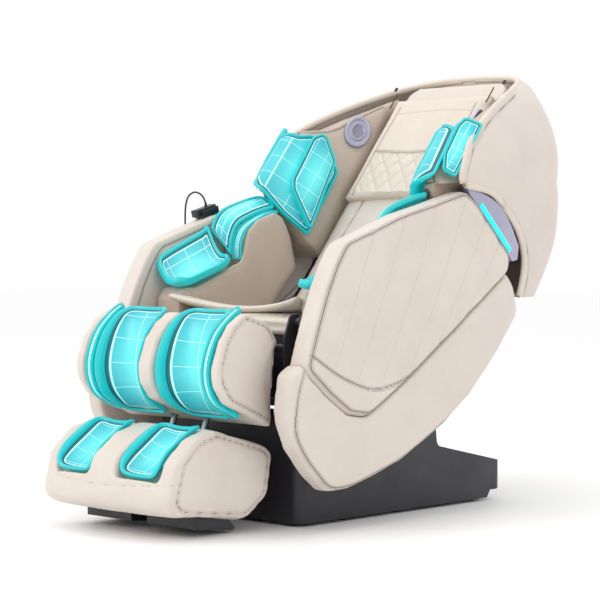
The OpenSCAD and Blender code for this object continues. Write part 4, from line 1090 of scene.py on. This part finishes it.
bezel = cutDisc("speakerLeft", speaker["radius"] * mm, speaker["height"] * mm,
                [(0.003, 0.0015), (0.006, -0.001), (0.0012, -0.003), (0.006, 0), (0.0012, 0.003),
                 (0.004, 0.0005), (0.0012, -0.0035)])
applyAll(bezel)
settle(bezel)
place = pointsOf(bezel) / mm
s, c = math.sin(faceLean), math.cos(faceLean)
up = speaker["up"] + place[:, 0]
lift = 0.5 + place[:, 2]
place = fromBack((wingFace["x"] + up * s - lift * c) * mm,
                 (speaker["along"] + place[:, 1] * speaker["stretch"]) * mm,
                 (wingFace["h"] + up * c + lift * s) * mm)
movePoints(bezel, place)
makeActive(bezel)
bpy.ops.object.mode_set(mode="EDIT")
bpy.ops.mesh.select_all(action="SELECT")
bpy.ops.mesh.normals_make_consistent(inside=False)
bpy.ops.object.mode_set(mode="OBJECT")
bezelTwin = mirrored(bezel, "speakerRight")
for one, stands in ((bezel, ["speakers"]), (bezelTwin, [])):
    dress(one, "backrest", trimPaint, stands, 40)
    one.data.materials.append(grille)
    for polygon in one.data.polygons:
        polygon.material_index = 1 if polygon.area > 0.0008 else 0

# ---- trims, light strips, base and small parts ----
trimLeft = softCopy("armTrims", "arm_trims", {"voxel": 2.6, "smooth": 12, "divide": False})
sew(trimLeft, [])
dress(trimLeft, "seat_body", trimPaint, ["arm_trims"])


def hardCopy(name, nodeName, body, material, width, angle=35):
    # crisp moulded part: the frame's shape with its edges broken
    obj = copyOfNode(name, nodeName)
    bpy.ops.object.mode_set(mode="EDIT")
    bpy.ops.mesh.select_all(action="SELECT")
    bpy.ops.mesh.dissolve_limited(angle_limit=math.radians(1.0))
    bpy.ops.object.mode_set(mode="OBJECT")
    bevel = obj.modifiers.new("Broken edges", "BEVEL")
    bevel.width = width * mm
    bevel.segments = 3
    bevel.limit_method = "ANGLE"
    bevel.angle_limit = math.radians(angle)
    bevel.use_clamp_overlap = True
    applyAll(obj)
    return dress(obj, body, material, [nodeName], 40)


hardCopy("baseCover", "base_cover", "base", basePlastic, 3.0)
hardCopy("lightStrips", "led_strips", "seat_body", ledGlow, 1.2)
hardCopy("handsetHolder", "remote_holder", "seat_body", remotePlastic, 1.2)
hardCopy("handset", "remote_handset", "seat_body", remotePlastic, 2.0)
stageDone("moulded parts")

keptNodes = {
    "black plastic": (basePlastic, ["power_box", "seat_front_cover", "rear_lower_cover", "foot_glides",
                                    "cord_grommet"]),
    "rubber": (rubber, ["base_feet", "wheel_left", "wheel_right", "knead_rollers"]),
    "dark steel": (frameSteel, ["base_frame", "seat_frame", "back_frame", "calf_frame"]),
    "bright steel": (steel, ["wheel_axles", "tilt_pin", "recline_pins", "legrest_pins", "tilt_actuator_rod",
                             "knead_shaft",
                             "foot_rods", "foot_rollers", "remote_button"]),
    "cast": (castMetal, ["tilt_actuator_tube", "roller_carriage", "air_pump"]),
    "inlet": (remotePlastic, ["power_inlet"]),
    "red": (redPlastic, ["power_switch"]),
    "green": (boardGreen, ["control_board"]),
}
for finish, names in keptNodes.values():
    for nodeName in names:
        obj = nodes[nodeName]
        if not obj.material_slots:
            obj.data.materials.append(finish)
        for slot in obj.material_slots:
            slot.material = finish
stageDone("frame parts")

# ---- floor, light ----
bpy.ops.object.select_all(action="DESELECT")
bpy.ops.mesh.primitive_plane_add(size=40, location=(0, 0, -0.0005))
floor = bpy.context.object
floor.name = "studioFloor"
floorFinish, _, floorShader = startMaterial("studio floor painted white", {"Roughness": 0.55, "IOR": 1.45})
floorShader.inputs["Base Color"].default_value = linear("#fdfdfd")
floor.data.materials.append(floorFinish)
floor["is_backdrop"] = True


def softLight(name, place, aim, size, power, colour="#ffffff"):
    bpy.ops.object.light_add(type="AREA", location=place)
    lamp = bpy.context.object
    lamp.name = name
    lamp.data.shape = "RECTANGLE"
    lamp.data.size, lamp.data.size_y = size
    lamp.data.energy = power
    lamp.data.color = linear(colour)[:3]
    lamp.rotation_euler = (Vector(aim) - Vector(place)).to_track_quat("-Z", "Y").to_euler()


softLight("keyLight", (-1.6, -3.6, 3.0), (0, 0, 0.6), (2.4, 2.4), 48)
softLight("sideLight", (3.6, -0.6, 2.2), (0, 0, 0.6), (2.4, 2.0), 8)
softLight("topLight", (0, 0.2, 3.8), (0, 0, 0.5), (3.0, 3.0), 26)
world = bpy.data.worlds.new("studioWorld") if not bpy.context.scene.world else bpy.context.scene.world
bpy.context.scene.world = world
world.use_nodes = True
world.node_tree.nodes["Background"].inputs[0].default_value = (1, 1, 1, 1)
world.node_tree.nodes["Background"].inputs[1].default_value = 1.0
bpy.context.scene.view_settings.view_transform = "Standard"

low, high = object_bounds()
stageDone("done")
